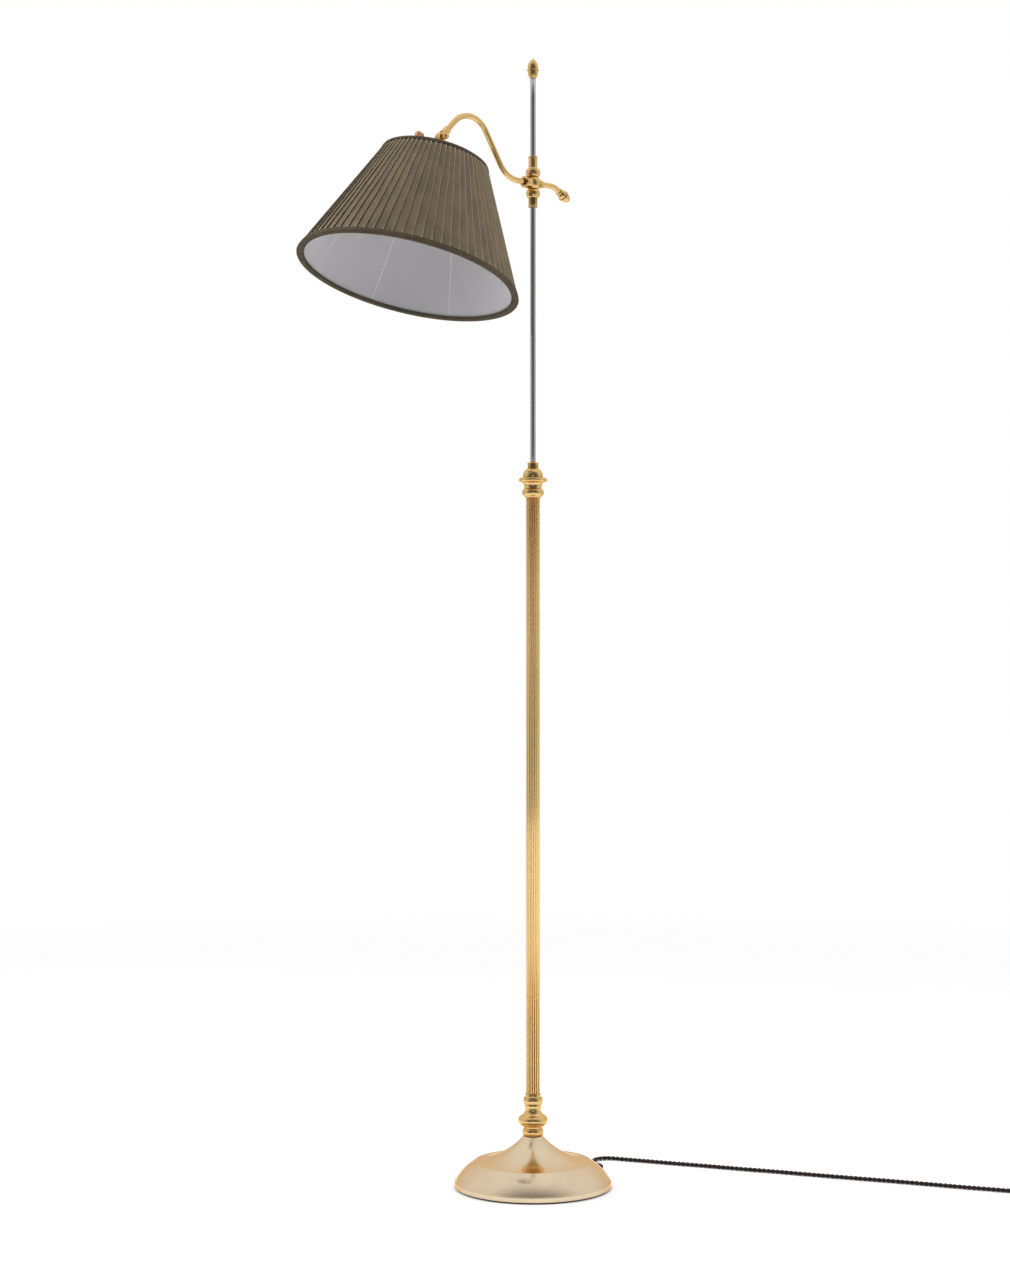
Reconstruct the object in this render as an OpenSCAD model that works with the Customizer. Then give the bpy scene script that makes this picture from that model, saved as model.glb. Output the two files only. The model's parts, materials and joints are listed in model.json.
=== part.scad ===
// Pharmacy floor lamp: a weighted round base, a reeded column, a slim steel rod with a
// sliding head, an S-shaped arm and a tilting pleated shade.
// Origin: centre of the base underside, on the floor. +Z is up, the arm points along -X.

/* [Column and rod] */
// Length of the reeded column tube
column_len = 818; // [400:1:1100]
// Outer diameter of the column over its reeds
column_d = 19; // [17:0.5:30]
// Bore of the column tube
column_bore = 14; // [12:0.5:15]
// Number of reeds round the column
reed_count = 18; // [12:1:24]
// Depth of the grooves between the reeds
reed_depth = 0.7; // [0.4:0.1:1]
// Diameter of the steel rod
rod_d = 8; // [7:0.1:12]
// Bore of the steel rod
rod_bore = 5; // [4:0.1:6]
// Length of rod that shows between the coupling and the top knob
rod_show = 529; // [350:1:800]
// Depth that the rod sits in its socket
rod_seat = 22; // [15:1:24]
// Outer diameter of the threaded tube that ties the stand together
tie_d = 10; // [9.5:0.1:11]
// Bore of the threaded tube
tie_bore = 7; // [6:0.1:8]

/* [Base] */
// Outer diameter of the base
base_d = 215; // [180:1:300]
// Height of the spun brass cover above its pad
base_h = 69.4; // [55:0.1:90]
// Wall of the spun brass cover
shell_t = 1.2; // [0.8:0.1:2]
// Radius of the crease round the dome
crease_r = 80; // [65:1:90]
// Height of the crease above the floor
crease_z = 35; // [28:1:42]
// Height of the upright rim band
rim_h = 7; // [4:0.5:12]
// Thickness of the felt pad
felt_t = 2; // [1:0.5:4]
// Height of the iron weight
weight_h = 24; // [15:1:26]
// Diameter of the iron weight
weight_d = 176; // [140:1:178]

/* [Turned fittings] */
// Height of the ring under the baluster
knop_h = 10.3; // [8:0.1:14]
// Diameter of the ring under the baluster
knop_d = 29; // [26:0.5:34]
// Height of the baluster
baluster_h = 47.3; // [35:0.1:60]
// Largest diameter of the baluster
baluster_d = 40.6; // [34:0.1:48]
// Height of the cap on the column
cap_h = 15.3; // [12:0.1:20]
// Height of the rod socket
socket_h = 32.7; // [28:0.1:45]
// Diameter of the rod socket's flange
flange_d = 38; // [32:0.5:46]
// Height of the top knob
finial_h = 26; // [20:0.5:34]
// Diameter of the top knob's rim
finial_d = 16.5; // [14:0.5:22]

/* [Sliding head] */
// Height of the head's ball above the floor
head_z = 1379; // [1150:1:1440]
// Radius of the head's ball
ball_r = 10.8; // [10:0.1:14]
// Wall of the friction bush on the rod
bush_t = 0.8; // [0.6:0.1:1.2]
// Wall of the head's sleeves round the bush
sleeve_t = 1.2; // [1:0.1:2]
// Length of the head above its ball centre
head_up = 36.5; // [30:0.5:50]
// Length of the head below its ball centre
head_down = 32; // [28:0.5:45]

/* [Arm] */
// Diameter of the arm tube
arm_d = 7.6; // [6:0.1:9]
// Bore of the arm tube
arm_bore = 5.4; // [4:0.1:6.5]
// Radius of the arm's rising bend
rise_r = 39; // [25:1:60]
// Angle of the arm's rising bend
rise_a = 57; // [40:1:75]
// Length of the arm's straight run between its bends
mid_len = 49; // [20:1:90]
// Radius of the arm's arch
arch_r = 36.5; // [25:0.5:50]
// Angle of the arm's arch
arch_a = 101.5; // [90:0.5:120]
// Length of the arm from its arch to the shade pivot
drop_len = 34.5; // [32:0.5:60]
// Diameter of the tail handle's tube
tail_d = 7.4; // [6:0.1:9]

/* [Shade] */
// Tilt of the shade away from the upright
shade_tilt = 17; // [0:1:30]
// Outer diameter of the shade's mouth over its trim
mouth_d = 300; // [240:1:360]
// Outer diameter of the shade's top over its trim
top_d = 143; // [110:1:170]
// Height of the shade
shade_h = 170; // [140:1:220]
// Drop from the pivot to the shade's top edge
shade_drop = 32; // [30:0.5:45]
// Thickness of the pleated cover
pleat_t = 2.4; // [1:0.1:4]
// Thickness of the lining
lining_t = 0.6; // [0.4:0.1:1.5]
// Thickness of the trim tape
trim_t = 0.8; // [0.5:0.1:1.5]
// Height of the trim at the mouth
mouth_trim_h = 7; // [4:0.5:14]
// Height of the trim at the top
top_trim_h = 5; // [4:0.5:12]
// Diameter of the two ring wires
ring_wire_d = 3; // [2:0.1:4]
// Diameter of the rib wires
rib_d = 2.4; // [1.5:0.1:3]
// Number of ribs
rib_count = 8; // [6:1:16]
// Angle of the first rib from the side towards the pole
rib_a = 24; // [0:1:59]
// Diameter of the lampholder body
holder_d = 27; // [26:0.5:32]
// Diameter of the bulb
bulb_d = 45; // [35:1:60]
// Reach of the switch knob from the shade's centre line
key_reach = 41; // [36:0.5:55]

/* [Cord] */
// Diameter of the twisted cord
cord_d = 5.6; // [4:0.1:7]
// Radius at the middle of the coil's turns
coil_r = 31; // [28:1:40]
// Number of turns in each layer of the coil
coil_wide = 2; // [1:1:3]
// Number of layers in the coil
coil_high = 3; // [1:1:5]
// Length of the plug's body
plug_len = 34; // [28:1:45]

/* [Hidden] */
$fn = 64;

gap = 0.1;
play = 0.05;
eps = 0.01;
arc_steps = 8;
brass = "#b08d57";
gold = "#c9a25f";
steel = "#8d8f90";
dark = "#2b211c";

// Heights of the stack, from the floor up
cover_top = felt_t + base_h;
knop_top = cover_top + knop_h;
baluster_top = knop_top + baluster_h;
column_top = baluster_top + column_len;
cap_top = column_top + cap_h;
socket_top = cap_top + socket_h;
rod_bottom = socket_top - rod_seat;
rod_top = socket_top + rod_show;
knob_seat = 9;
tie_low = felt_t + 2;
tie_high = rod_bottom - 1;
washer_t = 1.6;
nut_t = 6;
nut_z = tie_low + 1;
weight_z = nut_z + nut_t + washer_t;
recess_r = 14;
wire_d = 3.4;
wire_z = weight_z + cord_d / 2 + 1;

// Slider sizes
bush_r = rod_d / 2 + play + bush_t;
sleeve_bore = bush_r + play;
sleeve_r = sleeve_bore + sleeve_t;
boss_r = sleeve_r + 3.2;
lip = 1.5;

// Arm path, worked out from its bends
ball_h = 16.4;
stub_in = bush_r + sleeve_t + 1.4;
lead_x = 28.5;
drop_a = arch_a - rise_a;
rise_end = [lead_x + rise_r * sin(rise_a), rise_r * (1 - cos(rise_a))];
arch_start = rise_end + mid_len * [cos(rise_a), sin(rise_a)];
arch_mid = arch_start + arch_r * [sin(rise_a), -cos(rise_a)];
arch_end = arch_mid + arch_r * [sin(drop_a), cos(drop_a)];
pivot_2d = arch_end + drop_len * [cos(drop_a), -sin(drop_a)];
pivot = [-pivot_2d[0], 0, head_z + pivot_2d[1]];
eye_r = 6;
tongue_t = 4;
cheek_t = 2.4;
cheek_y = tongue_t / 2 + gap;
pin_r = 2;
fork_len = 17.5;
fork_r = arm_d / 2 + 1.4;

// Shade, in its own frame: pivot at the origin, centre line along Z
top_z = -shade_drop;
mouth_z = top_z - shade_h;
cap_z = -8;
body_z = -26;
clamp_z = -45;
body_end = -60;
bulb_tip = clamp_z - bulb_d - 30;
key_z = -14;
key_d = 9.5;
stem_r = 2;

// Route of the cord on the floor, from the tip of its strain relief to the coil
lay_z = cord_d / 2 + 0.2;
exit_z = 12;
relief_end = base_d / 2 + 16;
plug_relief_len = 20;
plug_w = 24;
plug_t = 15;
plug_z = plug_t / 2 + 0.3;
route = [[relief_end, 0, exit_z], [131, 1.5, 10.5], [138, 5, 7.5], [144, 12, 4.6],
    [149, 22, lay_z], [154, 33, lay_z], [162, 45, lay_z], [172, 54, lay_z],
    [179, 57.5, lay_z], [186, 58, lay_z], [194, 56, lay_z], [200, 52, lay_z],
    [204.5, 46, lay_z], [210, 34, lay_z], [223, 7, lay_z], [242, -34, lay_z],
    [264, -79, lay_z], [287, -129, lay_z], [311, -178, lay_z], [334, -228, lay_z],
    [358, -278, lay_z], [382, -327, lay_z], [403, -372, lay_z], [424, -418, lay_z],
    [446, -463, lay_z], [467.5, -508, lay_z]];
coil_mid = [498, -493];
tie_t = 0.8;
coil_lift = tie_t + 0.4;
coil_w = coil_wide * cord_d;
coil_h = coil_high * cord_d;
last_turn_z = coil_lift + coil_h - cord_d / 2;
tail = [[527.5, -510, last_turn_z], [533.5, -499.5, last_turn_z - 1.6],
    [539.5, -489, plug_z + 1.6], [545.5, -478.5, plug_z]];
tail_a = 60;
cord_sides = 10;
ring_step = 13;

// A point list along the arc from p to q that rises by s on its left, without p itself
function bow(p, q, s, n = arc_steps) =
    let (c = q - p, d = norm(c), h = 2 * atan(2 * abs(s) / d), r = d / (2 * sin(h)),
        up = [-c[1], c[0]] / d * sign(s), mid = (p + q) / 2)
    [for (i = [1:n]) let (a = -h + 2 * h * i / n)
        mid + c / d * r * sin(a) + up * r * (cos(a) - cos(h))];

// Smooth curve through the cord's points
function spline(a, b, c, d, t) = 0.5 * (2 * b + (c - a) * t + (2 * a - 5 * b + 4 * c - d)
    * t * t + (3 * b - a - 3 * c + d) * t * t * t);
function at(pts, i) = pts[max(0, min(len(pts) - 1, i))];
function curve(pts) = [for (i = [0:len(pts) - 2])
    let (n = max(1, ceil(norm(pts[i + 1] - pts[i]) / ring_step))) for (k = [0:n - 1])
    spline(at(pts, i - 1), pts[i], pts[i + 1], at(pts, i + 2), k / n),
    pts[len(pts) - 1]];
function unit(v) = v / norm(v);
function way(pts, i) = unit(at(pts, i + 1) - at(pts, i - 1));
function ring(c, w, r) = let (side = unit(cross([0, 0, 1], w)), up = cross(w, side))
    [for (k = [0:cord_sides - 1]) c + r * (side * cos(360 * k / cord_sides)
        + up * sin(360 * k / cord_sides))];

module turned(profile) {
    rotate_extrude() polygon(profile);
}

module tube_along(pts, r) {
    n = cord_sides;
    rings = len(pts);
    corners = [for (i = [0:rings - 1]) each ring(pts[i], way(pts, i), r)];
    walls = [for (i = [0:rings - 2], k = [0:n - 1])
        [i * n + k, (i + 1) * n + k, (i + 1) * n + (k + 1) % n, i * n + (k + 1) % n]];
    ends = [[for (k = [0:n - 1]) k], [for (k = [n - 1:-1:0]) (rings - 1) * n + k]];
    polyhedron(corners, concat(walls, ends));
}

// Straight and bent runs of round bar, each carrying the next piece at its end. A straight
// run laps into the bends beside it, which are a hair thinner.
lap = 0.5;
hair = 0.01;

module run(l, d) {
    translate([0, 0, -lap]) cylinder(d = d, h = l + 2 * lap);
    translate([0, 0, l]) children();
}

module bend(r, a, d) {
    side = sign(a);
    turn = abs(a);
    rotate([0, 0, side < 0 ? 180 : 0]) translate([r, 0, 0]) rotate([90, 0, 180])
        rotate_extrude(angle = turn) translate([r, 0]) circle(r = d / 2 - hair);
    translate([side * r * (1 - cos(turn)), 0, r * sin(turn)]) rotate([0, a, 0]) children();
}

module arm_run(d, start, cut) {
    translate([-start, 0, head_z]) rotate([0, -90, 0]) run(lead_x - start, d)
        bend(rise_r, rise_a, d) run(mid_len, d) bend(arch_r, -arch_a, d)
        run(drop_len - cut, d);
}

module at_pivot() {
    translate(pivot) children();
}

module in_shade() {
    at_pivot() rotate([0, shade_tilt, 0]) children();
}

module along_y(y0, y1, r) {
    translate([0, y0, 0]) rotate([-90, 0, 0]) cylinder(r = r, h = y1 - y0);
}

module outboard() {
    rotate([0, -90, 0]) children();
}

// Base
rim_r = base_d / 2;
rim_z = felt_t + rim_h;
neck_r = 12.6;
shoulder = [crease_r, crease_z];

module base_felt() {
    color("#3b4a3a") difference() {
        cylinder(r = rim_r - 3, h = felt_t);
        translate([0, 0, -eps]) cylinder(r = recess_r, h = felt_t + 2 * eps);
    }
}

module cover_line(inset) {
    tip = [neck_r - inset, cover_top - (inset > 0 ? inset : 0)];
    flare = bow([neck_r, cover_top], shoulder, -7, 14);
    side = bow(shoulder, [rim_r - 0.6, rim_z], 2.7, 10);
    outer = concat([tip], flare, side, [[rim_r, rim_z - 1], [rim_r, felt_t]]);
    polygon(concat([[0, cover_top], tip], [for (p = outer) p - [inset, inset]],
        [[rim_r - inset, felt_t - inset], [0, felt_t - inset]]));
}

module base_cover() {
    color(brass) difference() {
        rotate_extrude() difference() {
            cover_line(0);
            cover_line(shell_t);
            square([tie_d / 2 + gap, cover_top + 1]);
        }
        translate([rim_r - 30, 0, exit_z]) rotate([0, 90, 0]) cylinder(d = cord_d + 4, h = 40);
    }
}

module base_weight() {
    color("#3a3a3c") difference() {
        union() {
            translate([0, 0, felt_t]) cylinder(d = weight_d, h = weight_h);
            translate([0, 0, felt_t + weight_h - eps]) cylinder(r1 = 50, r2 = 30, h = 10);
        }
        translate([0, 0, felt_t - 1]) cylinder(r = recess_r, h = weight_z - felt_t + 1);
        cylinder(d = tie_d + 2 * gap, h = cover_top);
        translate([0, -cord_d / 2 - 1, felt_t - 1])
            cube([base_d, cord_d + 2, wire_z + cord_d / 2 + 2 - felt_t]);
    }
}

module base_washer() {
    color(steel) translate([0, 0, weight_z - washer_t]) difference() {
        cylinder(r = recess_r - 1, h = washer_t);
        translate([0, 0, -1]) cylinder(d = tie_d + 2 * gap, h = washer_t + 2);
    }
}

module base_nut() {
    color(steel) translate([0, 0, nut_z]) difference() {
        cylinder(d = 17 / cos(30), h = nut_t, $fn = 6);
        translate([0, 0, -1]) cylinder(d = tie_d + 2 * play, h = nut_t + 2);
    }
}

module tie_tube() {
    color(steel) translate([0, 0, tie_low]) difference() {
        cylinder(d = tie_d, h = tie_high - tie_low);
        translate([0, 0, -1]) cylinder(d = tie_bore, h = tie_high - tie_low + 2);
        translate([0, 0, wire_z - tie_low]) rotate([0, 90, 0]) cylinder(d = cord_d, h = tie_d);
    }
}

// Turned fittings of the stand
module base_knop() {
    r = knop_d / 2;
    low = [neck_r, cover_top];
    color(brass) turned(concat([[tie_d / 2 + gap, cover_top], low, [r - 0.6, cover_top + 0.4]],
        bow([r - 0.6, cover_top + 0.4], [r - 0.6, knop_top - 1.6], -0.7, 6),
        [[r - 1.4, knop_top], [tie_d / 2 + gap, knop_top]]));
}

module baluster() {
    z = knop_top;
    r = baluster_d / 2;
    top = baluster_top;
    neck = z + baluster_h * 0.5;
    color(gold) turned(concat([[tie_d / 2 + gap, z], [13.2, z], [14.7, z + 2.5]],
        bow([14.7, z + 2.5], [r, z + 10.5], -1.2), bow([r, z + 10.5], [r - 3.4, z + 16.5], -0.9),
        bow([r - 3.4, z + 16.5], [10.8, neck + 1.5], 1.6), [[10.7, top - 21]],
        bow([10.7, top - 21], [11.4, top - 15.5], -0.5), [[12.2, top - 15.2]],
        bow([12.2, top - 15.2], [12.2, top - 5.5], -1.3), [[10.7, top - 5.2],
            [10.7, top - 1.2], [10.2, top], [tie_d / 2 + gap, top]]));
}

module column() {
    color(gold) translate([0, 0, baluster_top]) linear_extrude(column_len) difference() {
        circle(d = column_d);
        circle(d = column_bore);
        for (i = [0:reed_count - 1]) rotate(i * 360 / reed_count)
            translate([column_d / 2 + 1 - reed_depth, 0]) circle(r = 1, $fn = 24);
    }
}

module column_cap() {
    z = column_top;
    bore = tie_d / 2 + gap;
    color(gold) turned(concat([[bore, z], [11, z], [11.6, z + 1.6]],
        bow([11.6, z + 1.6], [12.3, z + 12], -3.1), [[11.9, z + 13.4]],
        [[11.9, cap_top], [bore, cap_top]]));
}

module rod_socket() {
    z = cap_top;
    f = flange_d / 2;
    flange_z = z + 6;
    step_z = rod_bottom - 1;
    color(gold) difference() {
        turned(concat([[0, z], [12, z]], bow([12, z], [f - 3, flange_z], 1.2),
            bow([f - 3, flange_z], [f - 1.5, flange_z + 5.6], -2.6),
            [[13.4, flange_z + 6.4]], bow([13.4, flange_z + 6.4], [8.4, flange_z + 18], -2.2),
            [[7.3, flange_z + 19], [7.3, socket_top - 2.6], [8, socket_top - 2],
                [8, socket_top - 0.6], [7.4, socket_top], [0, socket_top]]));
        translate([0, 0, z - 1]) cylinder(d = tie_d + 2 * play, h = step_z - z + 1);
        translate([0, 0, z]) cylinder(d = rod_bore, h = socket_h);
        translate([0, 0, rod_bottom]) cylinder(d = rod_d + 2 * play, h = rod_seat + 1);
    }
}

slot_w = 2.4;

module rod() {
    color(steel) difference() {
        translate([0, 0, rod_bottom]) cylinder(d = rod_d, h = rod_top + knob_seat - rod_bottom);
        translate([0, 0, rod_bottom - 1]) cylinder(d = rod_bore, h = rod_top - rod_bottom - 15);
        translate([-slot_w / 2, 0, socket_top + 12]) cube([slot_w, rod_d, rod_show - 40]);
    }
}

// Acorn knob on the end of a bar, its rim towards the bar
module acorn(h, d, bore, depth) {
    r = d / 2;
    base = h * 0.35;
    difference() {
        turned(concat([[0, 0], [r * 0.58, 0]], bow([r * 0.58, 0], [r * 0.84, base], -0.8),
            [[r, base + 0.4], [r, base + 1.6], [r * 0.86, base + 2]],
            bow([r * 0.86, base + 2], [0, h], -0.1 * h, 12)));
        translate([0, 0, -1]) cylinder(d = bore + 2 * play, h = depth + 1 + gap);
    }
}

module top_knob() {
    color(gold) translate([0, 0, rod_top]) acorn(finial_h, finial_d, rod_d, knob_seat);
}

module stand_wire() {
    color(dark) translate([0, 0, wire_z]) cylinder(d = wire_d, h = head_z - wire_z);
}

// Sliding head
flange_h = 1.6;
screw_drop = 14.5;
screw_a = -130;

module head_bush() {
    low = head_z - head_down - flange_h;
    high = head_z + head_up;
    color("#7d6a3f") difference() {
        union() {
            translate([0, 0, low]) cylinder(r = bush_r, h = high - low);
            translate([0, 0, low]) cylinder(r = sleeve_r + 0.3, h = flange_h - gap);
        }
        translate([0, 0, low - 1]) cylinder(d = rod_d + 2 * play, h = high - low + 2);
        translate([-slot_w / 2, 0, low - 1]) cube([slot_w, rod_d, high - low + 2]);
    }
}

module head_bush_ring() {
    color(gold) translate([0, 0, head_z + head_up - flange_h - lip]) difference() {
        cylinder(r = sleeve_r + 0.3, h = flange_h + lip);
        translate([0, 0, -1]) cylinder(r = bush_r + eps, h = flange_h + lip + 2);
    }
}

module head_sleeve() {
    up = head_up - flange_h - lip - gap;
    color(gold) translate([0, 0, head_z]) difference() {
        turned(concat([[0, -head_down], [sleeve_r + 0.5, -head_down],
                [sleeve_r + 0.5, 1.2 - head_down], [sleeve_r, 1.6 - head_down],
                [sleeve_r, -20.5]],
            bow([sleeve_r, -20.5], [boss_r - 0.6, -17.5], -0.6, 4),
            bow([boss_r - 0.6, -17.5], [boss_r - 0.6, -10.5], -0.9, 6),
            [[7.2, -8.5], [sleeve_r, -8.5], [sleeve_r, 8.5], [7.2, 8.5]],
            bow([7.2, 8.5], [boss_r, 11], -0.4, 4), bow([boss_r, 11], [boss_r - 0.4, 18.5],
                -0.9, 6), bow([boss_r - 0.4, 18.5], [sleeve_r, 21.5], 0.6, 4),
            [[sleeve_r, up], [0, up]]));
        cylinder(r = sleeve_bore, h = 200, center = true);
        translate([0, 0, -screw_drop]) rotate([0, 90, screw_a]) cylinder(r = 1.55, h = 20);
    }
}

// Ball that swivels on the sleeve between its two beads
module head_body() {
    color(gold) translate([0, 0, head_z]) difference() {
        intersection() {
            union() {
                sphere(r = ball_r, $fn = 64);
                rotate([0, 90, 0])
                    cylinder(r1 = ball_r * 0.93, r2 = tail_d / 2 + 1, h = ball_r + 8);
                rotate([0, -90, 0]) cylinder(r = 8, h = ball_r + 2);
            }
            cube([4 * ball_r, 4 * ball_r, ball_h], center = true);
        }
        cylinder(r = sleeve_r + play, h = 200, center = true);
        rotate([0, -90, 0]) translate([0, 0, stub_in - 0.3])
            cylinder(r = arm_d / 2 + 1.2 + play, h = 40);
        rotate([0, 90, 0]) translate([0, 0, stub_in]) cylinder(d = tail_d + 2 * play, h = 40);
        rotate([0, -90, 0]) cylinder(d = arm_bore, h = 20);
    }
}

module head_set_screw() {
    far = boss_r - 1.2;
    color("#333333") translate([0, 0, head_z - screw_drop]) rotate([0, 90, screw_a])
        translate([0, 0, sleeve_bore]) difference() {
            cylinder(r = 1.5, h = far - sleeve_bore);
            translate([0, 0, far - sleeve_bore - 1]) cylinder(r = 0.8, h = 2, $fn = 6);
        }
}

module arm_collar() {
    color(gold) translate([-ball_r - 2, 0, head_z]) rotate([0, -90, 0]) difference() {
        turned([[0, 0], [7.6, 0], [8.2, 0.8], [8.2, 3.6], [7.4, 5], [0, 5]]);
        translate([0, 0, -1]) cylinder(r = arm_d / 2 + 1.2 + play, h = 5 - 1.5);
        translate([0, 0, -1]) cylinder(r = arm_d / 2 + 0.8, h = 7);
    }
}

module arm_stub() {
    out = ball_r + 2 + 1.4;
    color(brass) translate([-stub_in, 0, head_z]) rotate([0, -90, 0]) difference() {
        cylinder(r = arm_d / 2 + 1.2, h = out - stub_in);
        translate([0, 0, 3]) cylinder(d = arm_d + 2 * play, h = 30);
        translate([0, 0, -1]) cylinder(d = arm_bore, h = 30);
    }
}

module arm_tube() {
    start = stub_in + 3 + gap + lap;
    color(gold) difference() {
        arm_run(arm_d, start, 12 + lap);
        arm_run(arm_bore, start - 1, 11);
    }
}

module arm_wire() {
    color(dark) arm_run(wire_d, stub_in + 1 + lap, 13);
}

// Frame with the pivot at the origin and Z back along the arm's last straight run
module arm_end() {
    at_pivot() rotate([0, 90 - drop_a, 0]) children();
}

module arm_fork() {
    web_y = cheek_y + cheek_t - 0.4;
    color(brass) difference() {
        union() {
            arm_end() translate([0, 0, eye_r + 2]) cylinder(r = fork_r, h = fork_len - eye_r - 2);
            at_pivot() along_y(-cheek_y - cheek_t, cheek_y + cheek_t, eye_r);
            arm_end() translate([0.5 - fork_r, -web_y, 0])
                cube([2 * fork_r - 1, 2 * web_y, eye_r + 3.5]);
        }
        arm_end() translate([-fork_r - 2, -cheek_y, -eye_r - 1])
            cube([2 * fork_r + 4, 2 * cheek_y, 2 * eye_r + 2.2]);
        at_pivot() along_y(-20, 20, pin_r + play);
        arm_end() translate([0, 0, 12 - gap]) cylinder(d = arm_d + 2 * play, h = 20);
        arm_end() translate([0, 0, eye_r]) cylinder(d = wire_d + 0.4, h = 8);
    }
}

module pivot_screw() {
    face = -cheek_y - cheek_t - gap;
    color(gold) at_pivot() union() {
        along_y(face - eps, cheek_y + cheek_t + 4, pin_r);
        translate([0, face, 0]) rotate([90, 0, 0]) union() {
            turned([[0, 0], [2.8, 0], [2.8, 1.6], [0, 1.6]]);
            translate([0, 0, 1.6 - eps]) linear_extrude(5.4) difference() {
                circle(r = 4.4);
                for (i = [0:11]) rotate(i * 30) translate([4.9, 0]) circle(r = 0.8, $fn = 16);
            }
            translate([0, 0, 7 - 2 * eps]) turned(concat([[0, 0], [3.4, 0]],
                bow([3.4, 0], [0, 1.4], -0.4, 6)));
        }
    }
}

module pivot_nut() {
    face = cheek_y + cheek_t + gap;
    color(gold) at_pivot() translate([0, face, 0]) rotate([-90, 0, 0]) difference() {
        turned(concat([[0, 0], [4, 0], [4, 2.6]], bow([4, 2.6], [0, 6.4], -1.1, 8)));
        translate([0, 0, -1]) cylinder(r = pin_r + play, h = 5.2);
    }
}

// Tail handle
tail_lead = 14;
tail_r = 26;
tail_bend = 30;
tail_end = 7;

module tail_run(d, start, more) {
    translate([start, 0, head_z]) rotate([0, 90, 0]) run(ball_r + 8 + tail_lead - start, d)
        bend(tail_r, tail_bend, d) run(tail_end + more, d);
}

module at_tail_end() {
    x = ball_r + 8 + tail_lead + tail_r * sin(tail_bend) + tail_end * cos(tail_bend);
    z = head_z - tail_r * (1 - cos(tail_bend)) - tail_end * sin(tail_bend);
    translate([x, 0, z]) rotate([0, 90 + tail_bend, 0]) children();
}

module tail_tube() {
    start = stub_in + gap + lap;
    color(gold) difference() {
        tail_run(tail_d, start, 7 - lap);
        tail_run(tail_d - 2, start - 1, 8);
    }
}

module tail_ring() {
    color(brass) at_tail_end() translate([0, 0, -3]) difference() {
        turned([[0, 0], [4.8, 0], [5.3, 0.6], [5.3, 2], [4.8, 2.6], [0, 2.6]]);
        translate([0, 0, -1]) cylinder(d = tail_d + 2 * play, h = 5);
    }
}

module tail_knob() {
    color(gold) at_tail_end() acorn(20, 15.5, tail_d, 7);
}

// Lampholder
module holder_knuckle() {
    color(brass) in_shade() difference() {
        union() {
            along_y(-tongue_t / 2, tongue_t / 2, eye_r - 0.4);
            translate([-3.6, -tongue_t / 2, cap_z - 1 + gap])
                cube([7.2, tongue_t, -cap_z + 1 - gap]);
            translate([0, 0, cap_z + gap]) cylinder(r = 4.4, h = 0.9);
            translate([0, 0, cap_z - 5]) cylinder(r = 4.2, h = 5.5);
        }
        along_y(-9, 9, pin_r + play);
        translate([0, 0, cap_z - 6]) cylinder(r = 1.8, h = 5.5);
    }
}

module holder_cap() {
    r = holder_d / 2 + 1;
    color(brass) in_shade() difference() {
        turned(concat([[4.2 + play, cap_z]], bow([4.2 + play, cap_z], [r, cap_z - 8], 2.2),
            [[r, body_z], [r - 1.6, body_z]],
            bow([r - 1.6, cap_z - 9], [4.2 + play, cap_z - 1.8], -2),
            [[4.2 + play, cap_z - 1.8]]));
        translate([0, 0, key_z]) outboard() cylinder(r = 3.4 + play, h = 30);
    }
}

module holder_body() {
    r = holder_d / 2;
    color("#8c6f3e") in_shade() difference() {
        union() {
            translate([0, 0, body_end]) cylinder(r = r - 1, h = body_z - 4 - body_end);
            translate([0, 0, body_z - 5]) cylinder(r = r + 1, h = 5 - gap);
        }
        translate([0, 0, body_end - 1]) cylinder(r = r - 2.2, h = body_z - body_end + 2);
    }
}

module holder_insert() {
    r = holder_d / 2 - 2.2 - play;
    color("#e9e4d8") in_shade() difference() {
        translate([0, 0, body_end + 1]) cylinder(r = r, h = body_z - 3 - body_end);
        translate([0, 0, body_end - 1]) cylinder(r = 7.2, h = clamp_z + 5 - body_end);
    }
}

module switch_bush() {
    wall = holder_d / 2;
    color(gold) in_shade() translate([0, 0, key_z]) outboard() difference() {
        union() {
            translate([0, 0, wall - 3]) cylinder(r = 3.4, h = 9);
            translate([0, 0, wall + 1.4]) cylinder(r = 4.2, h = 1.8);
        }
        cylinder(r = stem_r + play, h = 60);
    }
}

module switch_key() {
    head = 10;
    color("#b87a4b") in_shade() translate([0, 0, key_z]) outboard() union() {
        translate([0, 0, 9]) cylinder(r = stem_r, h = key_reach - head - 9 + eps);
        translate([0, 0, key_reach - head]) linear_extrude(head - 1) difference() {
            circle(d = key_d);
            for (i = [0:15]) rotate(i * 22.5) translate([key_d / 2 + 0.3, 0])
                circle(r = 0.7, $fn = 16);
        }
        translate([0, 0, key_reach - 1 - eps]) cylinder(r1 = key_d / 2 - 0.6, r2 = key_d / 2 - 1.4,
            h = 1);
    }
}

module shade_clamp_ring() {
    r = holder_d / 2 - 1;
    color("#8c6f3e") in_shade() translate([0, 0, clamp_z - 5.6]) difference() {
        turned([[0, 0], [r + 4.4, 0], [r + 5, 0.6], [r + 5, 3.6], [0, 4.2]]);
        translate([0, 0, -1]) cylinder(r = r + play, h = 7);
    }
}

// Shade: radius of the finished outside at a height in its own frame
function cone_r(z) = top_d / 2 + (mouth_d - top_d) / 2 * (top_z - z) / shade_h;

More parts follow.
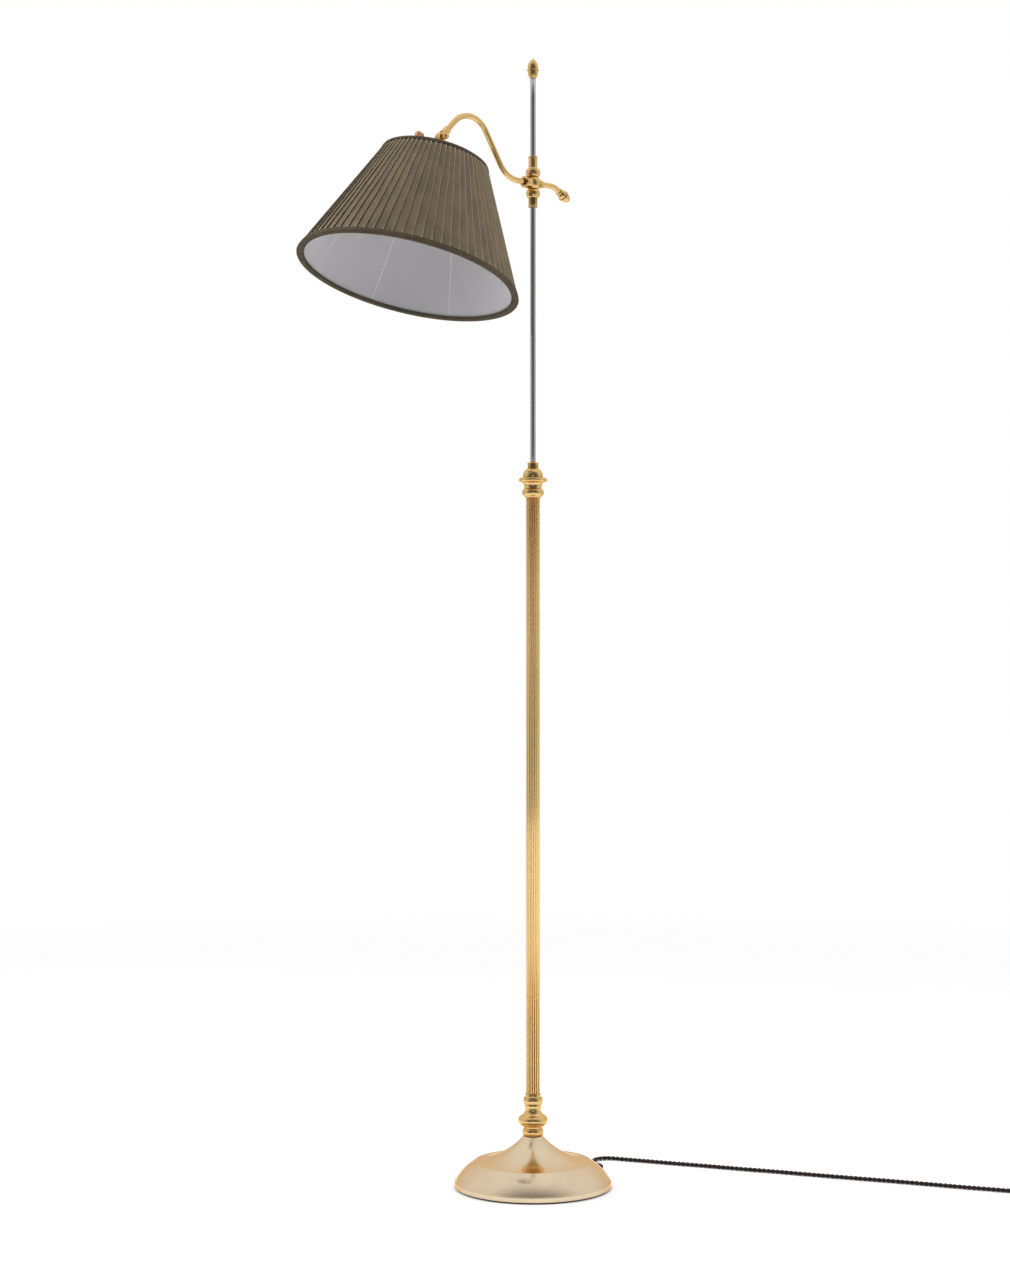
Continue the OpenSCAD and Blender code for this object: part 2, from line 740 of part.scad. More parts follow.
cover_off = trim_t + gap;
ring_off = cover_off + pleat_t + gap;
arm_angles = [30, 150, 270];
slit_gap = 0.5;
wire_w = ring_wire_d / cos(atan((mouth_d - top_d) / 2 / shade_h));
wire_mid = ring_off + wire_w / 2;
lining_off = ring_off + wire_w + gap;
trim_in = lining_off + lining_t + gap;
ring_top_z = top_z - trim_t - gap - ring_wire_d / 2;
ring_mouth_z = mouth_z + trim_t + gap + ring_wire_d / 2;

module wall(off, t, z0, z1) {
    rotate_extrude($fn = 96) polygon([[cone_r(z0) - off, z0], [cone_r(z1) - off, z1],
        [cone_r(z1) - off - t, z1], [cone_r(z0) - off - t, z0]]);
}

module wire_ring(z) {
    translate([0, 0, z]) rotate_extrude($fn = 96)
        translate([cone_r(z) - wire_mid, 0]) circle(d = ring_wire_d, $fn = 24);
}

module bar(p, q, d) {
    v = q - p;
    translate(p) rotate([0, acos(v[2] / norm(v)), atan2(v[1], v[0])]) cylinder(d = d, h = norm(v));
}

module shade_carrier() {
    hub = holder_d / 2 + 0.8;
    hub_z = clamp_z + 0.4;
    p = [hub + 3, 0, hub_z];
    q = [cone_r(ring_top_z) - wire_mid, 0, ring_top_z];
    short = (ring_wire_d / 2 + gap) * unit(q - p);
    color("#a8a9a6") in_shade() union() {
        translate([0, 0, hub_z - 0.7]) difference() {
            cylinder(r = hub + 5, h = 1.6);
            translate([0, 0, -1]) cylinder(r = hub - 1.6, h = 4);
        }
        for (a = arm_angles) rotate(a) bar(p, q - short, ring_wire_d);
    }
}

module top_ring() {
    color("#a8a9a6") in_shade() wire_ring(ring_top_z);
}

module shade_ribs() {
    z0 = ring_top_z - ring_wire_d / 2 - gap;
    z1 = ring_mouth_z + ring_wire_d / 2 + gap;
    color("#b5b6b3") in_shade() for (i = [0:rib_count - 1]) rotate(rib_a + i * 360 / rib_count)
        bar([cone_r(z0) - wire_mid, 0, z0], [cone_r(z1) - wire_mid, 0, z1], rib_d);
}

module mouth_ring() {
    color("#a8a9a6") in_shade() wire_ring(ring_mouth_z);
}

module shade_cover() {
    color("#645c48") in_shade() wall(cover_off, pleat_t, mouth_z + trim_t + gap,
        top_z - trim_t - gap);
}

// Slits that let the carrier's arms pass the lining and the tape's inner side
module arm_slits(slit_top) {
    low = ring_top_z - ring_wire_d;
    for (a = arm_angles) rotate(a)
        translate([cone_r(top_z) - trim_in - 6, -ring_wire_d / 2 - slit_gap, low])
            cube([6 + trim_in - wire_mid, ring_wire_d + 2 * slit_gap, slit_top - low]);
}

module shade_lining() {
    color("#d9d7d0") in_shade() difference() {
        wall(lining_off, lining_t, mouth_z + trim_t + gap, top_z - trim_t - gap);
        arm_slits(top_z);
    }
}

// Tape folded over an edge, closed at z0 and open at z1
module tape(z0, z1) {
    back = z0 + trim_t * sign(z1 - z0);
    rotate_extrude($fn = 96) polygon([[cone_r(z0), z0], [cone_r(z1), z1],
        [cone_r(z1) - trim_t, z1], [cone_r(back) - trim_t, back], [cone_r(back) - trim_in, back],
        [cone_r(z1) - trim_in, z1], [cone_r(z1) - trim_in - trim_t, z1],
        [cone_r(z0) - trim_in - trim_t, z0]]);
}

module mouth_trim() {
    color("#3c3728") in_shade() tape(mouth_z, mouth_z + mouth_trim_h);
}

module top_trim() {
    color("#3c3728") in_shade() difference() {
        tape(top_z, top_z - top_trim_h);
        arm_slits(ring_top_z + ring_wire_d / 2 - 0.2);
    }
}

// Bulb
bulb_base = 7;

module bulb_cap() {
    color(steel) in_shade() translate([0, 0, body_end - 2 + gap]) union() {
        cylinder(r = bulb_base, h = clamp_z - body_end);
        translate([0, 0, clamp_z - body_end - eps]) cylinder(r1 = bulb_base, r2 = 3, h = 3);
    }
}

function glass_line(t) = let (r = bulb_d / 2 - t, mid = bulb_tip + bulb_d / 2)
    concat([[bulb_base - t, body_end - 2], [bulb_base - t, body_end - 3]],
        [for (i = [0:22]) let (a = 42 - 6 * i) [r * cos(a), mid + r * sin(a)]]);

module bulb_glass() {
    inner = glass_line(1);
    back = [for (i = [len(inner) - 1:-1:0]) inner[i]];
    color("#f4f1e6", 0.6) in_shade() turned(concat(glass_line(0), back));
}

// Cord and plug
module cord_relief() {
    wall = rim_r - 16;
    end = relief_end - wall - 0.8;
    color(dark) translate([wall, 0, exit_z]) rotate([0, 90, 0]) difference() {
        turned([[0, 0], [cord_d / 2 + 4, 0], [cord_d / 2 + 4, 2], [cord_d / 2 + 1.8, 2.4],
            [cord_d / 2 + 1.8, 14], [cord_d / 2 + 0.8, end], [0, end]]);
        translate([0, 0, -1]) cylinder(d = cord_d - 1, h = end - 1);
    }
}

module cord_tube() {
    color(dark) tube_along(curve(route), cord_d / 2);
}

module cord_coil() {
    color(dark) translate([coil_mid[0], coil_mid[1], coil_lift]) rotate_extrude()
        translate([coil_r - coil_w / 2, 0]) square([coil_w, coil_h]);
}

module coil_tie() {
    inner = coil_r - coil_w / 2 - gap;
    outer = coil_r + coil_w / 2 + gap;
    low = coil_lift - gap;
    high = coil_lift + coil_h + gap;
    color("#1a1a1a") translate([coil_mid[0], coil_mid[1], 0]) rotate(50)
        rotate([90, 0, 0]) linear_extrude(7, center = true) difference() {
            translate([inner - 2.4, low - tie_t]) square([outer - inner + 4.8, high - low + 2 * tie_t]);
            translate([inner - 1.6, low]) square([outer - inner + 3.2, high - low]);
        }
}

module cord_tail() {
    color(dark) tube_along(curve(tail), cord_d / 2);
}

module at_plug() {
    end = tail[len(tail) - 1];
    translate(end) rotate([0, 0, tail_a]) rotate([0, 90, 0]) children();
}

module plug_relief() {
    color(dark) at_plug() turned([[0, 0.6], [cord_d / 2 + 0.6, 0.6], [cord_d / 2 + 2.4,
        plug_relief_len - 2], [cord_d / 2 + 3, plug_relief_len], [0, plug_relief_len]]);
}

module plug_body() {
    color(dark) at_plug() translate([0, 0, plug_relief_len + gap]) intersection() {
        hull() for (y = [-1, 1]) translate([0, y * (plug_w - plug_t) / 2, 0])
            cylinder(d = plug_t, h = plug_len, $fn = 32);
        rotate([0, 90, 0]) hull() for (x = [0, 1], y = [-1, 1])
            translate([x ? 4 - plug_len : -3, y * (plug_w / 2 - (x ? 4 : 9)), 0])
                cylinder(r = x ? 4 : 3, h = plug_t + 2, center = true, $fn = 32);
    }
}

pin_w = 6.2;
pin_t = 1.5;
pin_y = 6.35;

module plug_pins() {
    color("#c8c9c8") at_plug() for (y = [-1, 1])
        translate([-pin_w / 2, y * pin_y - pin_t / 2, plug_relief_len + plug_len + 2 * gap])
            cube([pin_w, pin_t, 17]);
}

base_felt();
base_weight();
base_cover();
base_washer();
base_nut();
tie_tube();
base_knop();
baluster();
column();
column_cap();
rod_socket();
rod();
top_knob();
stand_wire();
head_bush();
head_bush_ring();
head_sleeve();
head_body();
head_set_screw();
arm_collar();
arm_stub();
arm_tube();
arm_wire();
arm_fork();
pivot_screw();
pivot_nut();
tail_tube();
tail_ring();
tail_knob();
holder_knuckle();
holder_cap();
holder_body();
holder_insert();
switch_bush();
switch_key();
shade_clamp_ring();
shade_carrier();
top_ring();
shade_ribs();
mouth_ring();
shade_cover();
shade_lining();
mouth_trim();
top_trim();
bulb_cap();
bulb_glass();
cord_relief();
cord_tube();
cord_coil();
coil_tie();
cord_tail();
plug_relief();
plug_body();
plug_pins();
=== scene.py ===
import json
import math

import bmesh
import bpy
from bpy.props import FloatProperty, FloatVectorProperty, IntProperty, PointerProperty
from mathutils import Matrix, Vector


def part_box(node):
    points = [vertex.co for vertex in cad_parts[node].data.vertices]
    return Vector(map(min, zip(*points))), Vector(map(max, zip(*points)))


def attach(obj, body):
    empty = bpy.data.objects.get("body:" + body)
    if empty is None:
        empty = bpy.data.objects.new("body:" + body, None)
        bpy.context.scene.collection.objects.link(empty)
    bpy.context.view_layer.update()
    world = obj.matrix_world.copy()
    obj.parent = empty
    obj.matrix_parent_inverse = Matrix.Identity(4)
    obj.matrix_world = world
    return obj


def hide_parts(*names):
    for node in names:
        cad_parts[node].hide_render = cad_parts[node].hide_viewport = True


bl_info = {
    "name": "Pharmacy floor lamp",
    "version": (1, 0, 0),
    "blender": (4, 5, 0),
    "location": "View3D > Sidebar > Floor lamp",
    "description": "Makes the finished pieces of a reading lamp on its brass stand",
    "category": "Object",
}

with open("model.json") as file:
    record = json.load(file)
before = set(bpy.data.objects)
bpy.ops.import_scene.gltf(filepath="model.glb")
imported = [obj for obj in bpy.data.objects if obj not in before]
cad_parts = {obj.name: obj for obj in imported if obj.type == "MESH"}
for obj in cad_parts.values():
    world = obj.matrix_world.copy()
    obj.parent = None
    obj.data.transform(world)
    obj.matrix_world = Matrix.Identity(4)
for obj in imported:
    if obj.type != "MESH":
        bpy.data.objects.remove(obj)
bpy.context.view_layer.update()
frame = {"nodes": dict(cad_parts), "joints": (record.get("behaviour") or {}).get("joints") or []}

MM = 0.001
JOINTS = {j["name"]: j for j in frame["joints"]}
HEAD = Vector(JOINTS["head_swivel"]["pos_m"])
PIVOT = Vector(JOINTS["shade_tilt"]["pos_m"])


def shift(x=0, y=0, z=0):
    """A move in millimetres."""
    return Matrix.Translation((x * MM, y * MM, z * MM))


def spin(degrees, axis="Z"):
    """A turn about an axis through the origin."""
    return Matrix.Rotation(math.radians(degrees), 4, axis)


AT_HEAD = Matrix.Translation(HEAD)
AT_PIVOT = Matrix.Translation(PIVOT)
IN_SHADE = AT_PIVOT @ spin(17, "Y")
TOWARDS_SHADE = spin(-90, "Y")
TOWARDS_TAIL = spin(90, "Y")
ACROSS = spin(-90, "X")
VIEW_TURN = math.radians(43)
AWAY = Vector((math.sin(VIEW_TURN), math.cos(VIEW_TURN), 0))
CAMERA_AT = (-2.3742, -2.4897, 0.763)
LENS, SENSOR = 71.37, 36

# Shade sizes in millimetres, in the frame of the shade, whose origin is the pivot
TOP_Z, MOUTH_Z = -32.0, -202.0
TOP_R, MOUTH_R = 71.5, 150.0
WIRE_IN, LINING_IN = 5.05, 6.9
CLAMP_Z, KEY_Z = -45.0, -14.0
CLOTH_H = 168.2

# Sliding head sizes in millimetres
ROD_R, BUSH_R, SLEEVE_R, BOSS_R, BALL_R = 4.0, 4.85, 6.1, 9.3, 10.8
ARM_R, TAIL_R = 3.8, 3.7
STUB_IN = 7.45

# The cord's way over the floor, then its coil and its tail to the plug
CORD_D = 0.0056
ROUTE = [(0.1235, 0, 0.012), (0.131, 0.0015, 0.0105), (0.138, 0.005, 0.0075),
    (0.144, 0.012, 0.0046), (0.149, 0.022, 0.003), (0.154, 0.033, 0.003),
    (0.162, 0.045, 0.003), (0.172, 0.054, 0.003), (0.179, 0.0575, 0.003),
    (0.186, 0.058, 0.003), (0.194, 0.056, 0.003), (0.2, 0.052, 0.003),
    (0.2045, 0.046, 0.003), (0.21, 0.034, 0.003), (0.223, 0.007, 0.003),
    (0.242, -0.034, 0.003), (0.264, -0.079, 0.003), (0.287, -0.129, 0.003),
    (0.311, -0.178, 0.003), (0.334, -0.228, 0.003), (0.358, -0.278, 0.003),
    (0.382, -0.327, 0.003), (0.403, -0.372, 0.003), (0.424, -0.418, 0.003),
    (0.446, -0.463, 0.003), (0.4675, -0.508, 0.003)]
COIL_MID = Vector((0.498, -0.493, 0))
STRAND_R, STRAND_OUT = 0.0016, 0.0014
COIL_COLUMNS = (0.0338, 0.0282)
COIL_LIFT = 0.004
COIL_START, COIL_TURN = 206.2, 5 * 360 + 123.8
COIL_PLACES = [(0, 0), (1, 0), (1, 1), (0, 1), (1, 2), (0, 2)]
PLUG_AT = Vector((0.5455, -0.4785, 0.0078))
PLUG_TURN = 60


class StandLook(bpy.types.PropertyGroup):
    """Sizes and colours of the stand"""

    flutes: IntProperty(name="Flutes", description="Flutes round the column",
        default=18, min=12, max=24)
    flute_depth: FloatProperty(name="Flute depth", description="Depth of each flute",
        default=0.0007, min=0.0002, max=0.001, unit="LENGTH", precision=5)
    gold: FloatVectorProperty(name="Gold brass", description="Colour of the fittings",
        default=(0.80, 0.545, 0.225), min=0, max=1, subtype="COLOR")
    pale: FloatVectorProperty(name="Pale brass", description="Colour of the base",
        default=(0.79, 0.64, 0.45), min=0, max=1, subtype="COLOR")
    tube: FloatVectorProperty(name="Column brass", description="Colour of the drawn column",
        default=(0.93, 0.66, 0.29), min=0, max=1, subtype="COLOR")
    steel: FloatVectorProperty(name="Steel", description="Colour of the rod",
        default=(0.62, 0.62, 0.62), min=0, max=1, subtype="COLOR")


class ShadeLook(bpy.types.PropertyGroup):
    """Sizes and colours of the shade"""

    pleats: IntProperty(name="Pleats", description="Knife pleats round the cover",
        default=72, min=48, max=96)
    underlap: FloatProperty(name="Underlap",
        description="Cloth hidden under each pleat at the mouth",
        default=0.004, min=0.002, max=0.008, unit="LENGTH", precision=4)
    ribs: IntProperty(name="Ribs", description="Wire ribs of the shade frame",
        default=8, min=6, max=16)
    rib_turn: FloatProperty(name="First rib",
        description="Angle of the first rib from the pole side",
        default=math.radians(24), subtype="ANGLE")
    cloth: FloatVectorProperty(name="Cover cloth", description="Colour of the pleated cloth",
        default=(0.185, 0.148, 0.097), min=0, max=1, subtype="COLOR")
    lining: FloatVectorProperty(name="Lining", description="Colour of the lining",
        default=(0.56, 0.55, 0.565), min=0, max=1, subtype="COLOR")


class CordLook(bpy.types.PropertyGroup):
    """Sizes and colour of the cord"""

    twist: FloatProperty(name="Twist", description="Length of one full twist of the two strands",
        default=0.0132, min=0.008, max=0.03, unit="LENGTH", precision=4)
    braid: FloatVectorProperty(name="Braid", description="Colour of the cord's braid",
        default=(0.024, 0.014, 0.011), min=0, max=1, subtype="COLOR")


class StageLook(bpy.types.PropertyGroup):
    """Floor and light"""

    floor: FloatVectorProperty(name="Floor", description="Colour of the floor",
        default=(0.93, 0.93, 0.93), min=0, max=1, subtype="COLOR")
    light: FloatProperty(name="Light", description="Strength of the studio lights",
        default=1.0, min=0.1, max=5)


def look(name):
    """The settings of one part of the lamp."""
    return getattr(bpy.context.scene, "lamp_" + name)


# Shapes


def arc(p, q, rise, steps=12):
    """Points of the arc from p to q that rises on the left of that line, without p."""
    p, q = Vector(p), Vector(q)
    chord = q - p
    half = 2 * math.atan(2 * abs(rise) / chord.length)
    radius = chord.length / (2 * math.sin(half))
    along = chord.normalized()
    up = Vector((-chord.y, chord.x)).normalized() * math.copysign(1, rise)
    found = []
    for i in range(1, steps + 1):
        a = half * (2 * i / steps - 1)
        found.append(tuple((p + q) / 2 + along * radius * math.sin(a)
            + up * radius * (math.cos(a) - math.cos(half))))
    return found


def remember(bm):
    """Keep each point's place in the shape's own frame, which the finishes read."""
    made = bm.verts.layers.float_vector.get("made") or bm.verts.layers.float_vector.new("made")
    for v in bm.verts:
        v[made] = v.co


def face_outwards(bm):
    """Merge doubles and turn every face of a round shape away from its own Z axis."""
    bmesh.ops.remove_doubles(bm, verts=bm.verts, dist=1e-6)
    bmesh.ops.recalc_face_normals(bm, faces=bm.faces)
    turn_outwards(bm)


def turn_outwards(bm):
    """Turn a shape whose faces agree inside out, if they face its own Z axis."""
    sense = sum(f.normal.dot(f.calc_center_median() * Vector((1, 1, 0))) * f.calc_area()
        for f in bm.faces)
    if sense < 0:
        bmesh.ops.reverse_faces(bm, faces=bm.faces)


def lathe(points, place=None, steps=72, closed=False):
    """Spin an outline of (radius, height) in millimetres round Z, then put it in place."""
    bm = bmesh.new()
    line = [bm.verts.new((r * MM, 0, z * MM)) for r, z in points]
    edges = [bm.edges.new(pair) for pair in zip(line, line[1:])]
    if closed:
        edges.append(bm.edges.new((line[-1], line[0])))
    bmesh.ops.spin(bm, geom=line + edges, cent=(0, 0, 0), axis=(0, 0, 1),
        angle=2 * math.pi, steps=steps, use_merge=True)
    face_outwards(bm)
    remember(bm)
    if place:
        bm.transform(place)
    return bm


def hoop(radius, height, wire, place, steps=96):
    """A round wire bent into a ring."""
    line = [(radius + wire / 2 * math.cos(a), height + wire / 2 * math.sin(a))
        for a in [math.tau * i / 12 for i in range(12)]]
    return lathe(line, place, steps, closed=True)


def grow(bm, edges):
    """Extrude a line of edges. Gives the new points and the new line."""
    grown = bmesh.ops.extrude_edge_only(bm, edges=edges)["geom"]
    new = [g for g in grown if isinstance(g, bmesh.types.BMVert)]
    known = set(new)
    return new, [g for g in grown if isinstance(g, bmesh.types.BMEdge)
        and all(v in known for v in g.verts)]


def bent_bar(radius, runs, place, sides=28):
    """A round bar: each run is (length,) or (bend radius, angle in degrees)."""
    bm = bmesh.new()
    bmesh.ops.create_circle(bm, cap_ends=False, radius=radius * MM, segments=sides)
    remember(bm)
    made = bm.verts.layers.float_vector["made"]
    ring, here, far = list(bm.edges), Matrix(), 0.0
    for run in runs:
        steps = 1 if len(run) == 1 else max(3, round(abs(run[1]) / 4))
        for _ in range(steps):
            if len(run) == 1:
                far += run[0] * MM
                move = Matrix.Translation(here.to_3x3() @ Vector((0, 0, run[0] * MM)))
            else:
                turn = math.radians(run[1] / steps)
                centre = here @ Vector((math.copysign(run[0] * MM, turn), 0, 0))
                far += abs(turn) * run[0] * MM
                move = (Matrix.Translation(centre) @ Matrix.Rotation(turn, 4, "Y")
                    @ Matrix.Translation(-centre))
            new, ring = grow(bm, ring)
            bmesh.ops.transform(bm, matrix=move, verts=new)
            for v in new:
                v[made] = (v[made].x, v[made].y, far)
            here = move @ here
    bmesh.ops.holes_fill(bm, edges=[e for e in bm.edges if e.is_boundary], sides=0)
    bmesh.ops.recalc_face_normals(bm, faces=bm.faces)
    bm.transform(place)
    return bm


def straight_bar(p, q, wire, sides=12):
    """A straight wire from p to q, in metres."""
    p, q = Vector(p), Vector(q)
    aim = (q - p).to_track_quat("Z", "Y").to_matrix().to_4x4()
    return bent_bar(wire / 2, [((q - p).length / MM,)], Matrix.Translation(p) @ aim, sides)


def knurl(bm, radius, count, depth, low, high):
    """Press straight grooves into the side of a knob before it is put in place."""
    for v in bm.verts:
        r = math.hypot(v.co.x, v.co.y)
        if low * MM <= v.co.z <= high * MM and r > radius * 0.9 * MM:
            groove = 0.5 + 0.5 * math.cos(count * math.atan2(v.co.y, v.co.x))
            v.co.xy *= 1 - depth * MM * groove / r
    return bm


def block(size, place, bevel=0.4, segments=3):
    """A rounded block of a size in millimetres, about its own middle."""
    bm = bmesh.new()
    bmesh.ops.create_cube(bm, size=1, matrix=Matrix.Diagonal((*[s * MM for s in size], 1)))
    bmesh.ops.bevel(bm, geom=list(bm.edges), offset=bevel * MM, segments=segments,
        profile=0.5, affect="EDGES", material=-1)
    remember(bm)
    bm.transform(place)
    return bm


def together(*shapes):
    """One shape from several, each freed as it is taken in."""
    whole = bmesh.new()
    for shape in shapes:
        mesh = bpy.data.meshes.new("shape")
        shape.to_mesh(mesh)
        shape.free()
        whole.from_mesh(mesh)
        bpy.data.meshes.remove(mesh)
    return whole


def keep(bm, name, finish, body, stands_for=(), wall=0.0, crease=24):
    """Make a shape into a finished piece that rides on its body."""
    mesh = bpy.data.meshes.new(name)
    bm.to_mesh(mesh)
    bm.free()
    return keep_mesh(mesh, name, finish, body, stands_for, wall, crease)


def keep_mesh(mesh, name, finish, body, stands_for=(), wall=0.0, crease=24):
    """Make a mesh into a finished piece that rides on its body."""
    piece = bpy.data.objects.new(name, mesh)
    bpy.context.scene.collection.objects.link(piece)
    mesh.polygons.foreach_set("use_smooth", [True] * len(mesh.polygons))
    mesh.set_sharp_from_angle(angle=math.radians(crease))
    mesh.materials.append(surface(finish, False, **FINISHES[finish]))
    if wall:
        skin = piece.modifiers.new("Wall", "SOLIDIFY")
        skin.thickness, skin.offset = wall * MM, -1
    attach(piece, body)
    if stands_for:
        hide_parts(*stands_for)
    return piece


def finish_node(node, finish):
    """Give a CAD node that stays its finish."""
    mesh = frame["nodes"][node].data
    mesh.materials.clear()
    mesh.materials.append(surface(finish, True, **FINISHES[finish]))


def span(node):
    """Lowest and highest height of a CAD node, in millimetres."""
    low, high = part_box(node)
    return low.z / MM, high.z / MM


# Finishes


def node(tree, kind, inputs=None, **settings):
    """Add a node. An input is a value, or another node's output to link."""
    made = tree.nodes.new("ShaderNode" + kind)
    for key, value in settings.items():
        setattr(made, key, value)
    for key, value in (inputs or {}).items():
        if isinstance(value, bpy.types.NodeSocket):
            tree.links.new(value, made.inputs[key])
        else:
            made.inputs[key].default_value = value
    return made


def maths(tree, operation, *values):
    """A Math node's output."""
    return node(tree, "Math", dict(enumerate(values)), operation=operation).outputs[0]


def blend_colours(tree, mask, low, high):
    """The colour between low and high that a mask asks for."""
    mixed = node(tree, "Mix", {0: mask, 6: (*low, 1) if isinstance(low, tuple) else low,
        7: (*high, 1) if isinstance(high, tuple) else high}, data_type="RGBA")
    return mixed.outputs[2]


def noise(tree, place, scale, detail, **more):
    """A noise texture's grey output."""
    inputs = {"Vector": place, "Scale": scale, "Detail": detail, **more}
    return node(tree, "TexNoise", inputs).outputs["Fac"]


def ramp(tree, value, low, high, **settings):
    """A value spread so that low becomes nought and high becomes one."""
    return node(tree, "MapRange", {0: value, 1: low, 2: high}, **settings).outputs[0]


def mottling(tree, place, scale):
    """Soft patches where hands and air have dulled a surface."""
    soft = noise(tree, place, scale, 5.0, Roughness=0.6)
    fine = noise(tree, place, maths(tree, "MULTIPLY", scale, 22.0), 2.0)
    return (ramp(tree, soft, 0.32, 0.68, interpolation_type="SMOOTHSTEP"),
        ramp(tree, fine, 0.62, 0.74))


def turned_lines(tree, place, lines):
    """Fine rings left by turning and polishing on a lathe, round the shape's own axis."""
    x, y, z = node(tree, "SeparateXYZ", {0: place}).outputs
    radius = maths(tree, "SQRT", maths(tree, "ADD", maths(tree, "MULTIPLY", x, x),
        maths(tree, "MULTIPLY", y, y)))
    turn = maths(tree, "MULTIPLY", maths(tree, "ARCTAN2", y, x), 0.0004)
    flat = node(tree, "CombineXYZ", {0: radius, 1: z, 2: turn}).outputs[0]
    return (noise(tree, flat, lines, 2.0),
        noise(tree, flat, maths(tree, "MULTIPLY", lines, 0.12), 2.0))


def drawn_lines(tree, place, lines):
    """Long fine lines left along a drawn tube or rod."""
    stretched = node(tree, "Mapping", {"Vector": place, "Scale": (1, 1, 0.012)}).outputs[0]
    return (noise(tree, stretched, lines, 2.0),
        noise(tree, stretched, maths(tree, "MULTIPLY", lines, 0.2), 3.0))


def plain_weave(tree, place, threads):
    """Plain weave: warp and weft threads that pass over each other in turn."""
    ways = node(tree, "SeparateXYZ", {0: place}).outputs
    warp, weft = (maths(tree, "SINE", maths(tree, "MULTIPLY",
        maths(tree, "MULTIPLY", ways[i], threads), math.pi)) for i in (0, 1))
    above = maths(tree, "GREATER_THAN", maths(tree, "MULTIPLY", warp, weft), 0.0)
    height = node(tree, "Mix", {0: above, 2: maths(tree, "ABSOLUTE", weft),
        3: maths(tree, "ABSOLUTE", warp)}).outputs[0]
    long = node(tree, "Mapping", {"Vector": place, "Scale": (1, 0.06, 1)}).outputs[0]
    return height, noise(tree, long, maths(tree, "MULTIPLY", threads, 0.35), 3.0)


def braid(tree, place, crossings, length):
    """Diagonal carriers of a braided sleeve, from round-the-cord and along-the-cord places."""
    ways = node(tree, "SeparateXYZ", {0: place}).outputs
    round_it = maths(tree, "MULTIPLY", ways[0], maths(tree, "MULTIPLY", crossings, math.pi))
    along = maths(tree, "MULTIPLY", maths(tree, "DIVIDE", ways[1], length), math.pi)
    left, right = (maths(tree, "ABSOLUTE", maths(tree, "SINE", maths(tree, way, round_it, along)))
        for way in ("ADD", "SUBTRACT"))
    return maths(tree, "MAXIMUM", left, right), maths(tree, "MULTIPLY", left, right)


def grain(tree, place, scale):
    """Small pits and swells of a moulded, cast or felted surface."""
    pits = node(tree, "TexVoronoi", {"Vector": place, "Scale": scale}, feature="SMOOTH_F1")
    return noise(tree, place, scale, 3.0), pits.outputs["Distance"]


def wear_grime_and_painted_light(tree, sharpness):
    """Edges and hollows: worn metal and grime, and on the cloth a painted highlight and painted
    shade.
    """
    bend = node(tree, "NewGeometry").outputs["Pointiness"]
    return (ramp(tree, bend, 0.53, maths(tree, "ADD", sharpness, 0.53)),
        ramp(tree, bend, 0.49, maths(tree, "SUBTRACT", 0.49, sharpness)))


# Each effect's maker, its inputs with their defaults, and its outputs
EFFECTS = {
    "Mottling": (mottling, {"Coordinates": None, "Scale": 40.0}, ("Patches", "Specks")),
    "Turned_lines": (turned_lines, {"Coordinates": None, "Lines": 2200.0}, ("Height", "Bands")),
    "Drawn_lines": (drawn_lines, {"Coordinates": None, "Lines": 3000.0}, ("Height", "Streaks")),
    "Plain_weave": (plain_weave, {"Coordinates": None, "Threads": 2400.0}, ("Height", "Slubs")),
    "Braid": (braid, {"Coordinates": None, "Crossings": 8.0, "Length": 0.0022},
        ("Height", "Shade")),
    "Grain": (grain, {"Coordinates": None, "Scale": 900.0}, ("Height", "Cells")),
    "Edge_wear": (wear_grime_and_painted_light, {"Sharpness": 0.06}, ("Edges", "Hollows")),
}


def effect(name):
    """A shared effect as a new node group with named inputs and outputs."""
    maker, inputs, outputs = EFFECTS[name]
    tree = bpy.data.node_groups.new(name, "ShaderNodeTree")
    for label, value in inputs.items():
        kind = "NodeSocketVector" if value is None else "NodeSocketFloat"
        socket = tree.interface.new_socket(label, in_out="INPUT", socket_type=kind)
        if value is not None:
            socket.default_value = value
    for label in outputs:
        tree.interface.new_socket(label, in_out="OUTPUT", socket_type="NodeSocketFloat")
    given = tree.nodes.new("NodeGroupInput").outputs
    out = tree.nodes.new("NodeGroupOutput").inputs
    for i, value in enumerate(maker(tree, *given[:len(inputs)])):
        tree.links.new(value, out[i])
    return tree


def place_effect(tree, name, **values):
    """Put a shared effect in a material with its own values, and give its outputs."""
    made = tree.nodes.new("ShaderNodeGroup")
    made.node_tree = bpy.data.node_groups.get(name) or effect(name)
    for key, value in values.items():
        if isinstance(value, bpy.types.NodeSocket):
            tree.links.new(value, made.inputs[key])
        else:
            made.inputs[key].default_value = value
    return made.outputs


def tone(colour):
    """A plain colour, or a share of one of the lamp's set colours."""
    if not isinstance(colour[0], str):
        return colour
    part, name, share = colour
    return tuple(min(1.0, c * share) for c in getattr(look(part), name))


